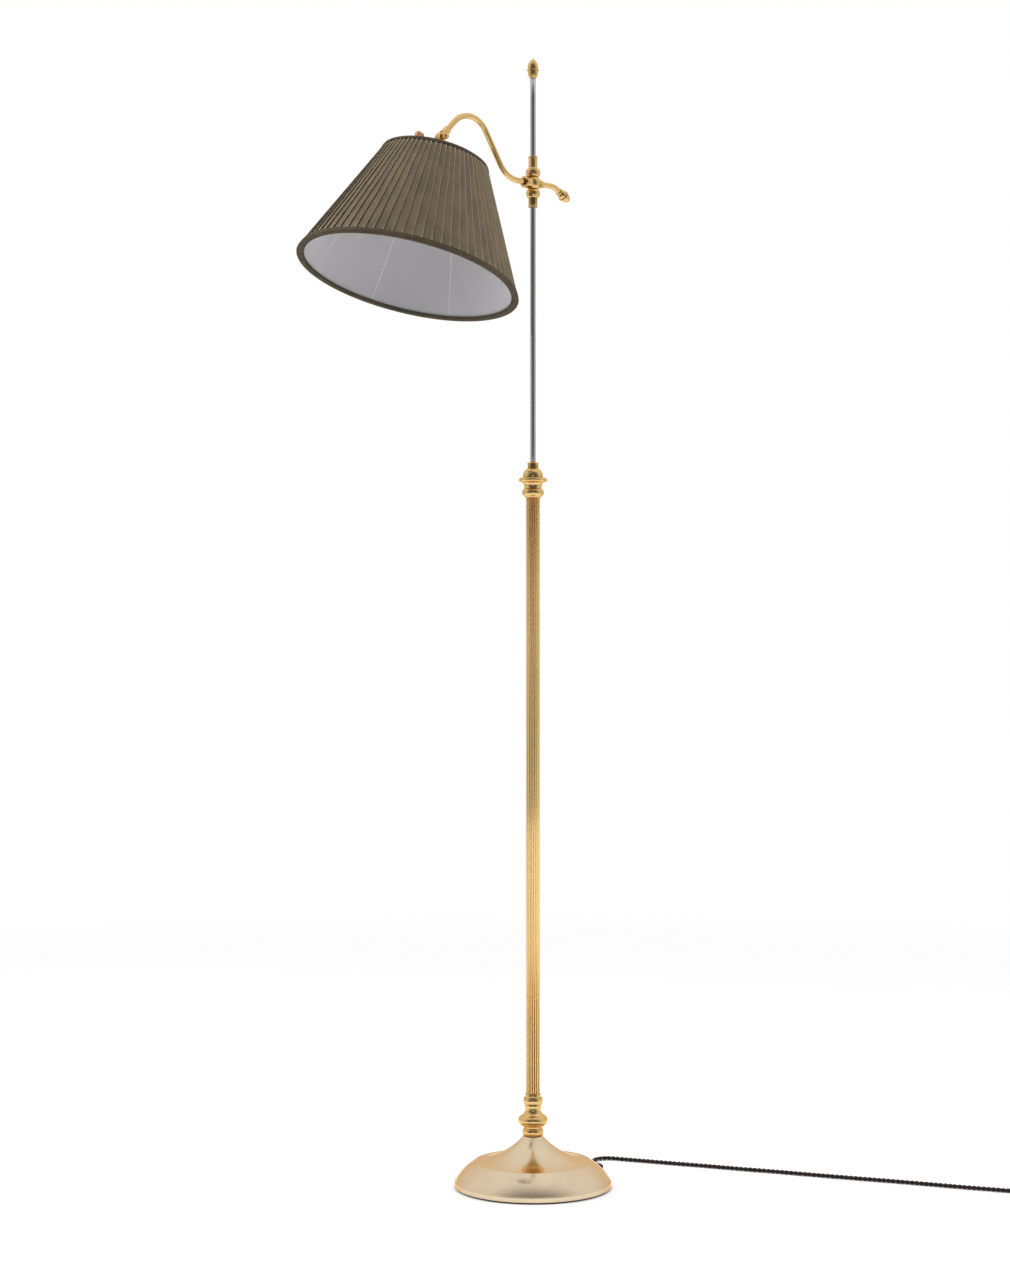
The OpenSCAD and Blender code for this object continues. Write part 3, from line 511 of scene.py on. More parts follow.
def surface(name, cad, low, high, rough, texture, size, bump, metal=0.0, patch=40.0, wear=None,
        dirt=0.0, tint=0.35, patch_by_piece=True, **sockets):
    """A material: colours between low and high by patches and texture, roughness between two
    values, a fine texture in relief, lighter edges and darker hollows, and constants on the
    shader itself. The edges and hollows are worn metal and grime on most finishes, and a
    painted highlight and painted shade on the pleated cloth."""
    label = name + ("_plain" if cad else "_finish")
    found = bpy.data.materials.get(label)
    if found:
        return found
    low, high = tone(low), tone(high)
    material = bpy.data.materials.new(label)
    material.use_nodes = True
    tree = material.node_tree
    shader = tree.nodes["Principled BSDF"]
    place = node(tree, "TexCoord").outputs["Object"]
    own = place if cad else node(tree, "Attribute", attribute_name="made").outputs["Vector"]
    patches = place_effect(tree, "Mottling", Coordinates=place if patch_by_piece else own,
        Scale=patch)
    size_name = list(EFFECTS[texture][1])[1]
    relief = place_effect(tree, texture, Coordinates=own, **{size_name: size})
    shade = maths(tree, "ADD", maths(tree, "MULTIPLY", patches[0], 1 - tint),
        maths(tree, "MULTIPLY", relief[1], tint))
    colour = blend_colours(tree, shade, low, high)
    gloss = node(tree, "MapRange", {0: shade, 3: rough[1], 4: rough[0]}).outputs[0]
    if wear or dirt:
        wear_and_shade_masks = place_effect(tree, "Edge_wear")
        if dirt:
            # Hollows darken towards a third of the low colour: grime, and painted shade in the
            # cloth's folds.
            hollow_grime_and_shade = maths(tree, "MULTIPLY", wear_and_shade_masks[1], dirt)
            colour = blend_colours(tree, hollow_grime_and_shade, colour, tuple(c * 0.3 for c in low))
        if wear:
            # Edges lighten towards the edge colour: worn metal, and a painted highlight on the
            # cloth's folds.
            colour = blend_colours(tree, maths(tree, "MULTIPLY", wear_and_shade_masks[0], 0.6), colour,
                tone(wear))
    gloss = maths(tree, "ADD", gloss, maths(tree, "MULTIPLY", patches[1], 0.05))
    tree.links.new(colour, shader.inputs["Base Color"])
    tree.links.new(gloss, shader.inputs["Roughness"])
    rise = node(tree, "Bump", {"Strength": 1.0, "Distance": bump, "Height": relief[0]})
    tree.links.new(rise.outputs[0], shader.inputs["Normal"])
    shader.inputs["Metallic"].default_value = metal
    for key, value in sockets.items():
        shader.inputs[key.replace("_", " ")].default_value = value
    return material


# Each finish: its two colours, its roughness from dull to bright patches, its texture with the
# texture's size and its height in metres, and what sets it apart
BRASS = {"metal": 1.0, "Specular_Tint": (1.0, 0.78, 0.45, 1)}
MATT_CLOTH = {"Specular_IOR_Level": 0.04, "Sheen_Weight": 0.02, "Sheen_Roughness": 0.35,
    "Sheen_Tint": (0.75, 0.68, 0.55, 1)}
FINISHES = {
    "gold_brass": dict(BRASS, low=("stand", "gold", 0.86), high=("stand", "gold", 1),
        rough=(0.10, 0.20), texture="Turned_lines", size=2600.0, bump=0.000004, patch=55.0,
        wear=(0.93, 0.62, 0.27), dirt=0.9, tint=0.3),
    "drawn_brass": dict(BRASS, low=("stand", "gold", 0.88), high=("stand", "gold", 1),
        rough=(0.13, 0.22), texture="Drawn_lines", size=2600.0, bump=0.000003, patch=45.0,
        dirt=0.4, tint=0.4),
    "column_brass": dict(low=("stand", "tube", 0.95), high=("stand", "tube", 1.04),
        rough=(0.20, 0.28), texture="Drawn_lines", size=2200.0, bump=0.0000015, metal=1.0,
        patch=6.0, dirt=0.5, Specular_Tint=(1.0, 0.8, 0.5, 1)),
    "pale_brass": dict(low=("stand", "pale", 0.90), high=("stand", "pale", 1),
        rough=(0.13, 0.22), texture="Turned_lines", size=1500.0, bump=0.000003, metal=1.0,
        patch=18.0, tint=0.3, Specular_Tint=(1.0, 0.72, 0.46, 1)),
    "dark_brass": dict(low=(0.20, 0.12, 0.045), high=(0.34, 0.22, 0.09), rough=(0.25, 0.40),
        texture="Turned_lines", size=2400.0, bump=0.000008, metal=1.0, patch=70.0,
        wear=(0.7, 0.5, 0.22), dirt=0.6),
    "copper_knob": dict(low=(0.60, 0.27, 0.12), high=(0.76, 0.38, 0.19), rough=(0.16, 0.28),
        texture="Turned_lines", size=3000.0, bump=0.000006, metal=1.0, patch=90.0,
        wear=(0.95, 0.62, 0.40), dirt=0.5),
    "steel_rod": dict(low=("stand", "steel", 0.85), high=("stand", "steel", 1),
        rough=(0.20, 0.30), texture="Drawn_lines", size=3600.0, bump=0.0000008, metal=1.0,
        patch=30.0, tint=0.4),
    "zinc_steel": dict(low=(0.44, 0.45, 0.46), high=(0.66, 0.67, 0.68), rough=(0.22, 0.42),
        texture="Grain", size=1500.0, bump=0.000015, metal=1.0, patch=120.0,
        wear=(0.85, 0.85, 0.86), dirt=0.4),
    "black_steel": dict(low=(0.012, 0.012, 0.013), high=(0.035, 0.034, 0.034),
        rough=(0.30, 0.45), texture="Grain", size=2500.0, bump=0.00001, metal=0.6, patch=90.0,
        wear=(0.25, 0.24, 0.23)),
    "iron": dict(low=(0.035, 0.035, 0.038), high=(0.075, 0.072, 0.070), rough=(0.55, 0.8),
        texture="Grain", size=420.0, bump=0.0002, metal=0.6, patch=30.0,
        wear=(0.16, 0.13, 0.11)),
    "felt": dict(low=(0.020, 0.034, 0.020), high=(0.040, 0.062, 0.038), rough=(0.9, 1.0),
        texture="Grain", size=1800.0, bump=0.00025, patch=60.0, Sheen_Weight=0.6,
        Sheen_Roughness=0.5),
    "porcelain": dict(low=(0.72, 0.70, 0.64), high=(0.84, 0.82, 0.77), rough=(0.12, 0.22),
        texture="Grain", size=300.0, bump=0.00002, patch=50.0, Coat_Weight=0.6,
        Coat_Roughness=0.06),
    # On the pleated cloth the lighter fold edges are a painted highlight and the darker fold
    # hollows are painted shade.
    "pleated_cloth": dict(MATT_CLOTH, low=("shade", "cloth", 0.70), high=("shade", "cloth", 1.20),
        rough=(0.62, 0.8), texture="Plain_weave", size=1900.0, bump=0.00006, patch=26.0,
        wear=("shade", "cloth", 3.2), dirt=0.85, tint=0.55, patch_by_piece=False),
    # The binding's colour is the cover cloth darkened: painted shade, for bound edges seen in
    # their own shadow.
    "trim_tape": dict(MATT_CLOTH, low=("shade", "cloth", 0.36), high=("shade", "cloth", 0.62),
        rough=(0.6, 0.78), texture="Plain_weave", size=1500.0, bump=0.0001, patch=60.0,
        tint=0.5),
    "lining_cloth": dict(low=("shade", "lining", 0.93), high=("shade", "lining", 1.03),
        rough=(0.5, 0.68), texture="Plain_weave", size=2600.0, bump=0.00003, patch=10.0,
        tint=0.3, Sheen_Weight=0.2),
    # The seams' colour is the lining brightened: a painted highlight along the ridges over the
    # ribs.
    "seam_tape": dict(low=("shade", "lining", 1.35), high=("shade", "lining", 1.5),
        rough=(0.5, 0.65), texture="Plain_weave", size=2600.0, bump=0.00003, patch=10.0,
        tint=0.3),
    "frame_wire": dict(low=(0.55, 0.55, 0.54), high=(0.74, 0.74, 0.73), rough=(0.25, 0.42),
        texture="Drawn_lines", size=3000.0, bump=0.000006, metal=0.9, patch=80.0, dirt=0.3),
    "cord_cloth": dict(low=("cord", "braid", 0.7), high=("cord", "braid", 1.7),
        rough=(0.6, 0.85), texture="Braid", size=8.0, bump=0.00025, patch=80.0, tint=0.6,
        Specular_IOR_Level=0.2, Sheen_Weight=0.08),
    "dark_bakelite": dict(low=(0.016, 0.011, 0.009), high=(0.040, 0.027, 0.021),
        rough=(0.22, 0.36), texture="Grain", size=700.0, bump=0.00003, patch=60.0,
        wear=(0.09, 0.07, 0.06), Coat_Weight=0.25),
    "nylon": dict(low=(0.30, 0.23, 0.11), high=(0.42, 0.33, 0.17), rough=(0.35, 0.5),
        texture="Turned_lines", size=2000.0, bump=0.00001, patch=60.0, wear=(0.6, 0.5, 0.3)),
    "black_tie": dict(low=(0.010, 0.010, 0.010), high=(0.028, 0.028, 0.029), rough=(0.6, 0.8),
        texture="Plain_weave", size=1600.0, bump=0.0001, patch=90.0, Sheen_Weight=0.3),
    "bulb_glass": dict(low=(0.84, 0.84, 0.82), high=(0.93, 0.93, 0.91), rough=(0.22, 0.34),
        texture="Grain", size=1400.0, bump=0.00002, Transmission_Weight=0.35, IOR=1.45),
}


# Camera and cord


class LAMP_OT_camera(bpy.types.Operator):
    """Place the camera low in front of the lamp, looking level"""

    bl_idname = "lamp.camera"
    bl_label = "Camera"

    def execute(self, context):
        data = bpy.data.cameras.new("camera")
        data.lens, data.sensor_width = LENS, SENSOR
        camera = bpy.data.objects.new("camera", data)
        context.scene.collection.objects.link(camera)
        camera.location = CAMERA_AT
        camera.rotation_euler = AWAY.to_track_quat("-Z", "Y").to_euler()
        context.scene.camera = camera
        return {"FINISHED"}


def smooth_line(points, step):
    """Points of the smooth curve through these, about a step apart."""
    points = [Vector(p) for p in points]
    found = []
    for i in range(len(points) - 1):
        a, b, c, d = (points[max(0, min(len(points) - 1, i + k))] for k in (-1, 0, 1, 2))
        count = max(1, math.ceil((c - b).length / step))
        for k in range(count):
            t = k / count
            found.append((2 * b + (c - a) * t + (2 * a - 5 * b + 4 * c - d) * t * t
                + (3 * b - a - 3 * c + d) * t ** 3) / 2)
    return found + [points[-1]]


def coil_point(turned):
    """The cord's place in its coil after so many degrees. It stays in each place of the coil
    for 315 degrees, the last 45 of them crossing into the next, so no two crossings meet."""
    k = min(int(turned / 315), len(COIL_PLACES) - 1)
    here = COIL_PLACES[k]
    there = COIL_PLACES[min(k + 1, len(COIL_PLACES) - 1)]
    t = max(0.0, min(1.0, (turned - 315 * k - 270) / 45))
    climb = t if here[0] == there[0] else min(1.0, 2 * t)
    cross = t if here[1] == there[1] else max(0.0, 2 * t - 1)
    climb, cross = (s * s * (3 - 2 * s) for s in (climb, cross))
    radius = COIL_COLUMNS[here[0]] * (1 - cross) + COIL_COLUMNS[there[0]] * cross
    height = COIL_LIFT + CORD_D * (here[1] * (1 - climb) + there[1] * climb)
    height -= 0.001 * max(0.0, 1 - turned / 30)
    a = math.radians(COIL_START + turned)
    return COIL_MID + Vector((radius * math.cos(a), radius * math.sin(a), height))


def cord_line():
    """The whole centre line of the cord, from its relief to its plug."""
    line = smooth_line(ROUTE, 0.005)[:-1]
    steps = 300
    coil = [coil_point(COIL_TURN * i / steps) for i in range(steps + 1)]
    a = math.radians(COIL_START + COIL_TURN)
    leave = coil[-1]
    ahead = Vector((-math.sin(a), math.cos(a), 0))
    reach = (PLUG_AT - leave).length
    tail = [leave, leave + ahead * reach * 0.33 - Vector((0, 0, 0.0016)),
        PLUG_AT - ahead * reach * 0.33 + Vector((0, 0, 0.0016)), PLUG_AT]
    return line + coil[:-1] + smooth_line(tail, 0.004)


def even_line(points, step):
    """The same line with its points an even step apart, and each point's way along."""
    found, along, left, far = [points[0].copy()], [0.0], step, 0.0
    for p, q in zip(points, points[1:]):
        length = (q - p).length
        while left <= length:
            found.append(p.lerp(q, left / length))
            along.append(far + left)
            left += step
        left -= length
        far += length
    return found, along, far


SIDES = 8


def twisted_mesh(line, along, pitch):
    """Two round strands wound about a line, with a place round and along each for the braid."""
    curve = bpy.data.curves.new("strands", "CURVE")
    curve.dimensions, curve.bevel_depth = "3D", STRAND_R
    curve.bevel_resolution = (SIDES - 4) // 2
    curve.use_fill_caps = False
    for strand in range(2):
        path = curve.splines.new("POLY")
        path.points.add(len(line) - 1)
        for i, p in enumerate(line):
            ahead = (line[min(i + 1, len(line) - 1)] - line[max(i - 1, 0)]).normalized()
            side = Vector((0, 0, 1)).cross(ahead).normalized()
            up = ahead.cross(side)
            a = math.tau * along[i] / pitch + math.pi * strand
            path.points[i].co = (*(p + (side * math.cos(a) + up * math.sin(a)) * STRAND_OUT), 1)
    holder = bpy.data.objects.new("strands", curve)
    bpy.context.scene.collection.objects.link(holder)
    seen = holder.evaluated_get(bpy.context.evaluated_depsgraph_get())
    mesh = bpy.data.meshes.new_from_object(seen)
    bpy.data.objects.remove(holder)
    bpy.data.curves.remove(curve)
    made = mesh.attributes.new("made", "FLOAT_VECTOR", "CORNER")
    values = []
    for face in mesh.polygons:
        rows = [divmod(v, SIDES) for v in face.vertices]
        wraps = max(r[1] for r in rows) - min(r[1] for r in rows) > SIDES / 2
        for ring, k in rows:
            k = SIDES if wraps and k == 0 else k
            values += [k / SIDES, along[ring % len(along)], 0.0]
    made.data.foreach_set("vector", values)
    bm = bmesh.new()
    bm.from_mesh(mesh)
    bmesh.ops.holes_fill(bm, edges=[e for e in bm.edges if e.is_boundary], sides=0)
    bmesh.ops.recalc_face_normals(bm, faces=bm.faces)
    bm.to_mesh(mesh)
    bm.free()
    return mesh


class LAMP_OT_cord(bpy.types.Operator):
    """Lay the twisted cord with its strain relief, coil, tie and plug"""

    bl_idname = "lamp.cord"
    bl_label = "Cord and plug"

    def execute(self, context):
        keep(self.relief(), "cord_strain_relief", "dark_bakelite", "stand", ["cord_relief"])
        line, along, length = even_line(cord_line(), look("cord").twist / 12)
        flex = keep_mesh(twisted_mesh(line, along, look("cord").twist), "twisted_flex",
            "cord_cloth", "stand", ["cord_tube", "cord_coil", "cord_tail"], crease=60)
        at_plug = Matrix.Translation(PLUG_AT) @ spin(PLUG_TURN) @ TOWARDS_TAIL
        grip = keep(self.grip(at_plug), "plug_grip", "dark_bakelite", "stand", ["plug_relief"])
        plug = keep(self.plug(at_plug), "plug_shell", "dark_bakelite", "stand", ["plug_body"])
        blades = keep(self.blades(at_plug), "plug_blades", "zinc_steel", "stand", ["plug_pins"])
        tie = keep(self.tie(), "coil_strap", "black_tie", "stand", ["coil_tie"], wall=0.8,
            crease=40)
        return {"FINISHED"}

    def relief(self):
        """The ribbed relief, tapered away from the base."""
        ribs = [(0, 0), (6.8, 0), (6.8, 2), (4.7, 2.4)]
        for i in range(5):
            z, r = 6 + i * 4.4, 4.6 - i * 0.2
            ribs += [(r, z), (r, z + 1.6), (r - 0.7, z + 2.2), (r - 0.75, z + 3.8)]
        return lathe(ribs + [(3.6, 29), (3.5, 32), (2.9, 32.4), (0, 32.4)],
            shift(91.5, 0, 12) @ TOWARDS_TAIL, 40)

    def grip(self, at_plug):
        """The ribbed sleeve where the cord enters the plug."""
        ribs = [(0, -0.4), (3, -0.2), (3.4, 0.4)]
        for i in range(4):
            z, r = 2 + i * 4.2, 3.6 + i * 0.5
            ribs += [(r - 0.5, z), (r, z + 0.6), (r, z + 2.2), (r - 0.5, z + 2.8)]
        return lathe(ribs + [(5.6, 18.4), (5.8, 20), (0, 20)], at_plug, 40)

    def plug(self, at_plug):
        """The plug's shell: an oval grown in steps and rounded at its edges."""
        bm = bmesh.new()
        bmesh.ops.create_circle(bm, cap_ends=True, radius=7.3 * MM, segments=40)
        for v in bm.verts:
            v.co.y += math.copysign(4.5 * MM, v.co.y) if abs(v.co.y) > 1e-6 else 0
        remember(bm)
        face = list(bm.faces)
        for depth, share in ((1.2, 1.0), (7.0, 0.0), (4.0, 1.0), (13.0, 0.2), (8.0, 0.3),
                (0.9, -0.9)):
            grown = bmesh.ops.extrude_face_region(bm, geom=face)["geom"]
            new = [g for g in grown if isinstance(g, bmesh.types.BMVert)]
            face = [g for g in grown if isinstance(g, bmesh.types.BMFace)]
            bmesh.ops.translate(bm, vec=(0, 0, depth * MM), verts=new)
            for v in new:
                v.co.y += math.copysign(min(abs(v.co.y), share * 0.5 * MM),
                    v.co.y * share) if share else 0
        low = [v for v in bm.verts if v.co.z < 0.1 * MM]
        bmesh.ops.scale(bm, vec=(0.8, 0.72, 1), verts=low)
        bmesh.ops.recalc_face_normals(bm, faces=bm.faces)
        bmesh.ops.bevel(bm, geom=[e for e in bm.edges if e.calc_face_angle(0) > 1.0],
            offset=0.8 * MM, segments=3, profile=0.5, affect="EDGES", material=-1)
        remember(bm)
        bm.transform(at_plug @ shift(z=20.1))
        return bm

    def blades(self, at_plug):
        """The plug's two flat blades."""
        return together(*[block((6.2, 1.5, 17), at_plug
            @ shift(0, side * 6.35, 62.7), 0.5) for side in (-1, 1)])

    def tie(self):
        """A strap closed round one side of the coil."""
        bm = bmesh.new()
        inner, outer, low, high = 23.9, 38.1, 0.4, 18.9
        corners = [bm.verts.new((x * MM, 0, z * MM)) for x, z in
            ((inner, low), (outer, low), (outer, high), (inner, high))]
        edges = [bm.edges.new((corners[i], corners[i - 1])) for i in range(4)]
        bmesh.ops.bevel(bm, geom=corners + edges, offset=2.2 * MM, segments=5, profile=0.5,
            affect="VERTICES", material=-1)
        bmesh.ops.translate(bm, vec=(0, -3.5 * MM, 0), verts=bm.verts)
        bmesh.ops.translate(bm, vec=(0, 7 * MM, 0), verts=grow(bm, list(bm.edges))[0])
        bmesh.ops.recalc_face_normals(bm, faces=bm.faces)
        middle = Vector(((inner + outer) / 2 * MM, 0, (low + high) / 2 * MM))
        if sum(f.normal.dot(f.calc_center_median() - middle) for f in bm.faces) < 0:
            bmesh.ops.reverse_faces(bm, faces=bm.faces)
        remember(bm)
        bm.transform(Matrix.Translation(COIL_MID) @ spin(50))
        return bm


# Stand


class LAMP_OT_base(bpy.types.Operator):
    """Spin the base cover and finish the weight and felt under it"""

    bl_idname = "lamp.base"
    bl_label = "Base"

    def execute(self, context):
        low, top = span("base_cover")
        neck = (12.6, top)
        line = [neck, *arc(neck, (79, 35.3), -7, 40), (79.6, 35.75), (80.2, 35.8), (80.8, 35.45),
            *arc((81.2, 34.9), (106.6, low + 7.2), 2.6, 24),
            *arc((106.6, low + 7.2), (107.5, low + 6), 0.2, 3), (107.5, low + 0.6),
            *arc((107.5, low + 0.6), (106.9, low), 0.2, 3)]
        keep(lathe(line, steps=160), "spun_base_cover", "pale_brass", "stand", ["base_cover"],
            wall=1.2, crease=12)
        finish_node("base_felt", "felt")
        finish_node("base_weight", "iron")
        for name in ("base_washer", "base_nut", "tie_tube"):
            finish_node(name, "zinc_steel")
        return {"FINISHED"}


class LAMP_OT_fittings(bpy.types.Operator):
    """Turn the ring, the baluster, the column's collar and the rod's socket"""

    bl_idname = "lamp.fittings"
    bl_label = "Turned fittings"

    def execute(self, context):
        low, top = span("base_knop")
        r = 14.5
        ring = [(5.2, low), (12.6, low), (r - 1.2, low + 0.2), (r - 0.7, low + 0.9),
            *arc((r - 0.7, low + 0.9), (r - 0.7, top - 2), -0.8), (r - 1.6, top - 1.2),
            (r - 2, top - 0.2), (5.2, top)]
        keep(lathe(ring, closed=True), "base_ring", "gold_brass", "stand", ["base_knop"])
        z, top = span("baluster")
        r, neck = 20.3, z + (top - z) / 2
        shape = [(5.2, z), (11.6, z), (11.6, z + 1.5), (13.6, z + 1.7), (14.7, z + 2.5),
            *arc((14.7, z + 2.5), (r, z + 10.5), -1.2),
            *arc((r, z + 10.5), (r - 3.4, z + 16.5), -0.9),
            *arc((r - 3.4, z + 16.5), (10.8, neck + 1.5), 1.6), (10.7, top - 21),
            *arc((10.7, top - 21), (11.4, top - 15.5), -0.5, 6), (12.2, top - 15.2),
            *arc((12.2, top - 15.2), (12.2, top - 5.5), -1.3), (10.7, top - 5.2),
            (10.7, top - 1.2), (10.2, top), (5.2, top)]
        keep(lathe(shape, closed=True), "turned_baluster", "gold_brass", "stand", ["baluster"])
        z, top = span("column_cap")
        shape = [(5.2, z), (11, z), (11.6, z + 1.6), *arc((11.6, z + 1.6), (12.3, z + 12), -3.1),
            (11.9, z + 13.4), (11.9, top), (5.2, top)]
        keep(lathe(shape, closed=True), "column_collar", "gold_brass", "stand", ["column_cap"])
        z, top = span("rod_socket")
        f, fz = 19, z + 6
        shape = [(5.2, z), (12, z), *arc((12, z), (f - 3, fz), 1.2),
            *arc((f - 3, fz), (f - 1.5, fz + 5.6), -2.6), (13.4, fz + 6.4),
            *arc((13.4, fz + 6.4), (8.4, fz + 18), -2.2), (7.3, fz + 19), (7.3, top - 2.6),
            (8, top - 2), (8, top - 0.6), (7.4, top), (4.05, top), (4.05, top - 22),
            (5.2, top - 24)]
        keep(lathe(shape, closed=True), "rod_coupling", "gold_brass", "stand", ["rod_socket"])
        z, top = span("top_knob")
        keep(acorn(26, 16.5, shift(z=z)), "acorn_finial", "gold_brass",
            "stand", ["top_knob"])
        return {"FINISHED"}


def acorn(height, width, place):
    """An acorn knob whose rim faces the bar that it sits on."""
    r, base = width / 2, height * 0.35
    shape = [(0, 0), (r * 0.58, 0), *arc((r * 0.58, 0), (r * 0.84, base), -0.8),
        (r * 0.97, base + 0.2),
        (r, base + 0.5), (r, base + 1.5), (r * 0.97, base + 1.8), (r * 0.86, base + 2),
        *arc((r * 0.86, base + 2), (0.001, height), -0.1 * height, 20)[:-1], (0, height)]
    return lathe(shape, place, 56)


class LAMP_OT_column(bpy.types.Operator):
    """Draw the fluted column and the slotted steel rod"""

    bl_idname = "lamp.column"
    bl_label = "Column and rod"

    def execute(self, context):
        low, high = span("column")
        count, depth = look("stand").flutes, look("stand").flute_depth / MM
        bm = bmesh.new()
        bmesh.ops.create_circle(bm, cap_ends=False, radius=9.5 * MM, segments=count * 12)
        for v in bm.verts:
            t = math.atan2(v.co.y, v.co.x) * count / math.tau
            t = abs(t - round(t))
            if t < 0.29:
                v.co.xy *= 1 - depth / 9.5 * math.sqrt(1 - (t / 0.29) ** 2)
        self.pull(bm, [low, high])
        keep(bm, "fluted_column", "column_brass", "stand", ["column"], wall=2.0, crease=14)
        low, high = span("rod")
        start, stop = span("rod_socket")[1] + 12, span("top_knob")[0] - 28
        bm = bmesh.new()
        bmesh.ops.create_circle(bm, cap_ends=False, radius=ROD_R * MM, segments=48)
        self.pull(bm, [low, start, stop, high])
        slot = [f for f in bm.faces if start < f.calc_center_median().z / MM < stop
            and f.normal.y > math.cos(math.radians(18.9)) and f.calc_center_median().y > 0]
        bmesh.ops.delete(bm, geom=slot, context="FACES")
        keep(bm, "steel_post", "steel_rod", "stand", ["rod"], wall=1.5, crease=30)
        finish_node("stand_wire", "cord_cloth")
        return {"FINISHED"}

    def pull(self, bm, heights):
        """Pull the outline in a shape up from the first height through the others."""
        bmesh.ops.translate(bm, vec=(0, 0, heights[0] * MM), verts=bm.verts)
        ring = list(bm.edges)
        for a, b in zip(heights, heights[1:]):
            new, ring = grow(bm, ring)
            bmesh.ops.translate(bm, vec=(0, 0, (b - a) * MM), verts=new)
        face_outwards(bm)
        remember(bm)


# Sliding head, arm and handle


class LAMP_OT_head(bpy.types.Operator):
    """Make the sliding head, its bush and the collar for the arm"""

    bl_idname = "lamp.head"
    bl_label = "Sliding head"

    def execute(self, context):
        up, s, b = 33.3, SLEEVE_R, BOSS_R
        line = [(4.9, -32), (s + 0.2, -32), (s + 0.5, -31.7), (s + 0.5, -31), (s, -30.4),
            (s, -20.5),
            *arc((s, -20.5), (b - 0.6, -17.5), -0.6, 6),
            *arc((b - 0.6, -17.5), (b - 0.6, -10.5), -0.9),
            (7.2, -8.5), (s, -8.5), (s, 8.5), (7.2, 8.5), *arc((7.2, 8.5), (b, 11), -0.4, 5),
            *arc((b, 11), (b - 0.4, 18.5), -0.9),
            *arc((b - 0.4, 18.5), (s, 21.5), 0.6, 6), (s, up), (4.9, up)]
        half = math.asin(8 / BALL_R)
        ball = [(s + 0.15, -8.2), (6.9, -8.2), *[(BALL_R * math.cos(a), BALL_R * math.sin(a))
            for a in [half * (i / 14 - 1) for i in range(29)]], (6.9, 8.2), (s + 0.15, 8.2)]
        neck = [(0, 7.2), *[(BALL_R * 0.93 * (1 - t) + 4.7 * t - 1.1 * math.sin(math.pi * t),
            4 + 14.8 * t) for t in [0.24 + 0.76 * i / 12 for i in range(13)]],
            (TAIL_R + 0.05, 18.8), (0, 18.8)]
        throat = [(8, 7), (8.2, BALL_R - 2), (8, BALL_R + 2), (5.1, BALL_R + 2), (5.1, STUB_IN),
            (8, 7)]
        keep(lathe(line, AT_HEAD, closed=True), "head_sleeve_tube", "gold_brass", "slider",
            ["head_sleeve"])
        body = together(lathe(ball, AT_HEAD, 72, closed=True),
            lathe(neck, AT_HEAD @ TOWARDS_TAIL, 48), lathe(throat, AT_HEAD @ TOWARDS_SHADE, 48))
        keep(body, "head_ball", "gold_brass", "head", ["head_body"])
        collar = [(4.6, 0), (7.6, 0), (8, 0.3), (8.2, 0.8), (8.2, 3.6),
            *arc((8.2, 3.6), (7.2, 5), -0.2, 4),
            (5.4, 5), (4.75, 4.4)]
        keep(lathe(collar, AT_HEAD @ shift(-12.8) @ TOWARDS_SHADE, closed=True),
            "arm_collar_ring", "gold_brass", "head", ["arm_collar"])
        at_screw = AT_HEAD @ shift(z=-14.5) @ spin(-130) @ TOWARDS_TAIL
        screw = [(0, 5), (1.7, 5), (1.7, 9.35), (1.45, 9.6), (0.95, 9.6), (0.9, 8.6), (0, 8.4)]
        keep(lathe(screw, at_screw, 24), "set_screw", "black_steel", "slider", ["head_set_screw"])
        bush = [(4.05, -33.6), (s + 0.3, -33.6), (s + 0.3, -32.1), (BUSH_R, -32.1), (BUSH_R, 36.5),
            (4.05, 36.5)]
        keep(lathe(bush, AT_HEAD, closed=True), "slide_bush", "nylon", "slider", ["head_bush"])
        cap = [(BUSH_R, 33.4), (s + 0.1, 33.4), (s + 0.3, 33.7), (s + 0.3, 36.1), (s, 36.5),
            (BUSH_R, 36.5)]
        keep(lathe(cap, AT_HEAD, closed=True), "bush_cap", "gold_brass", "slider",
            ["head_bush_ring"])
        return {"FINISHED"}


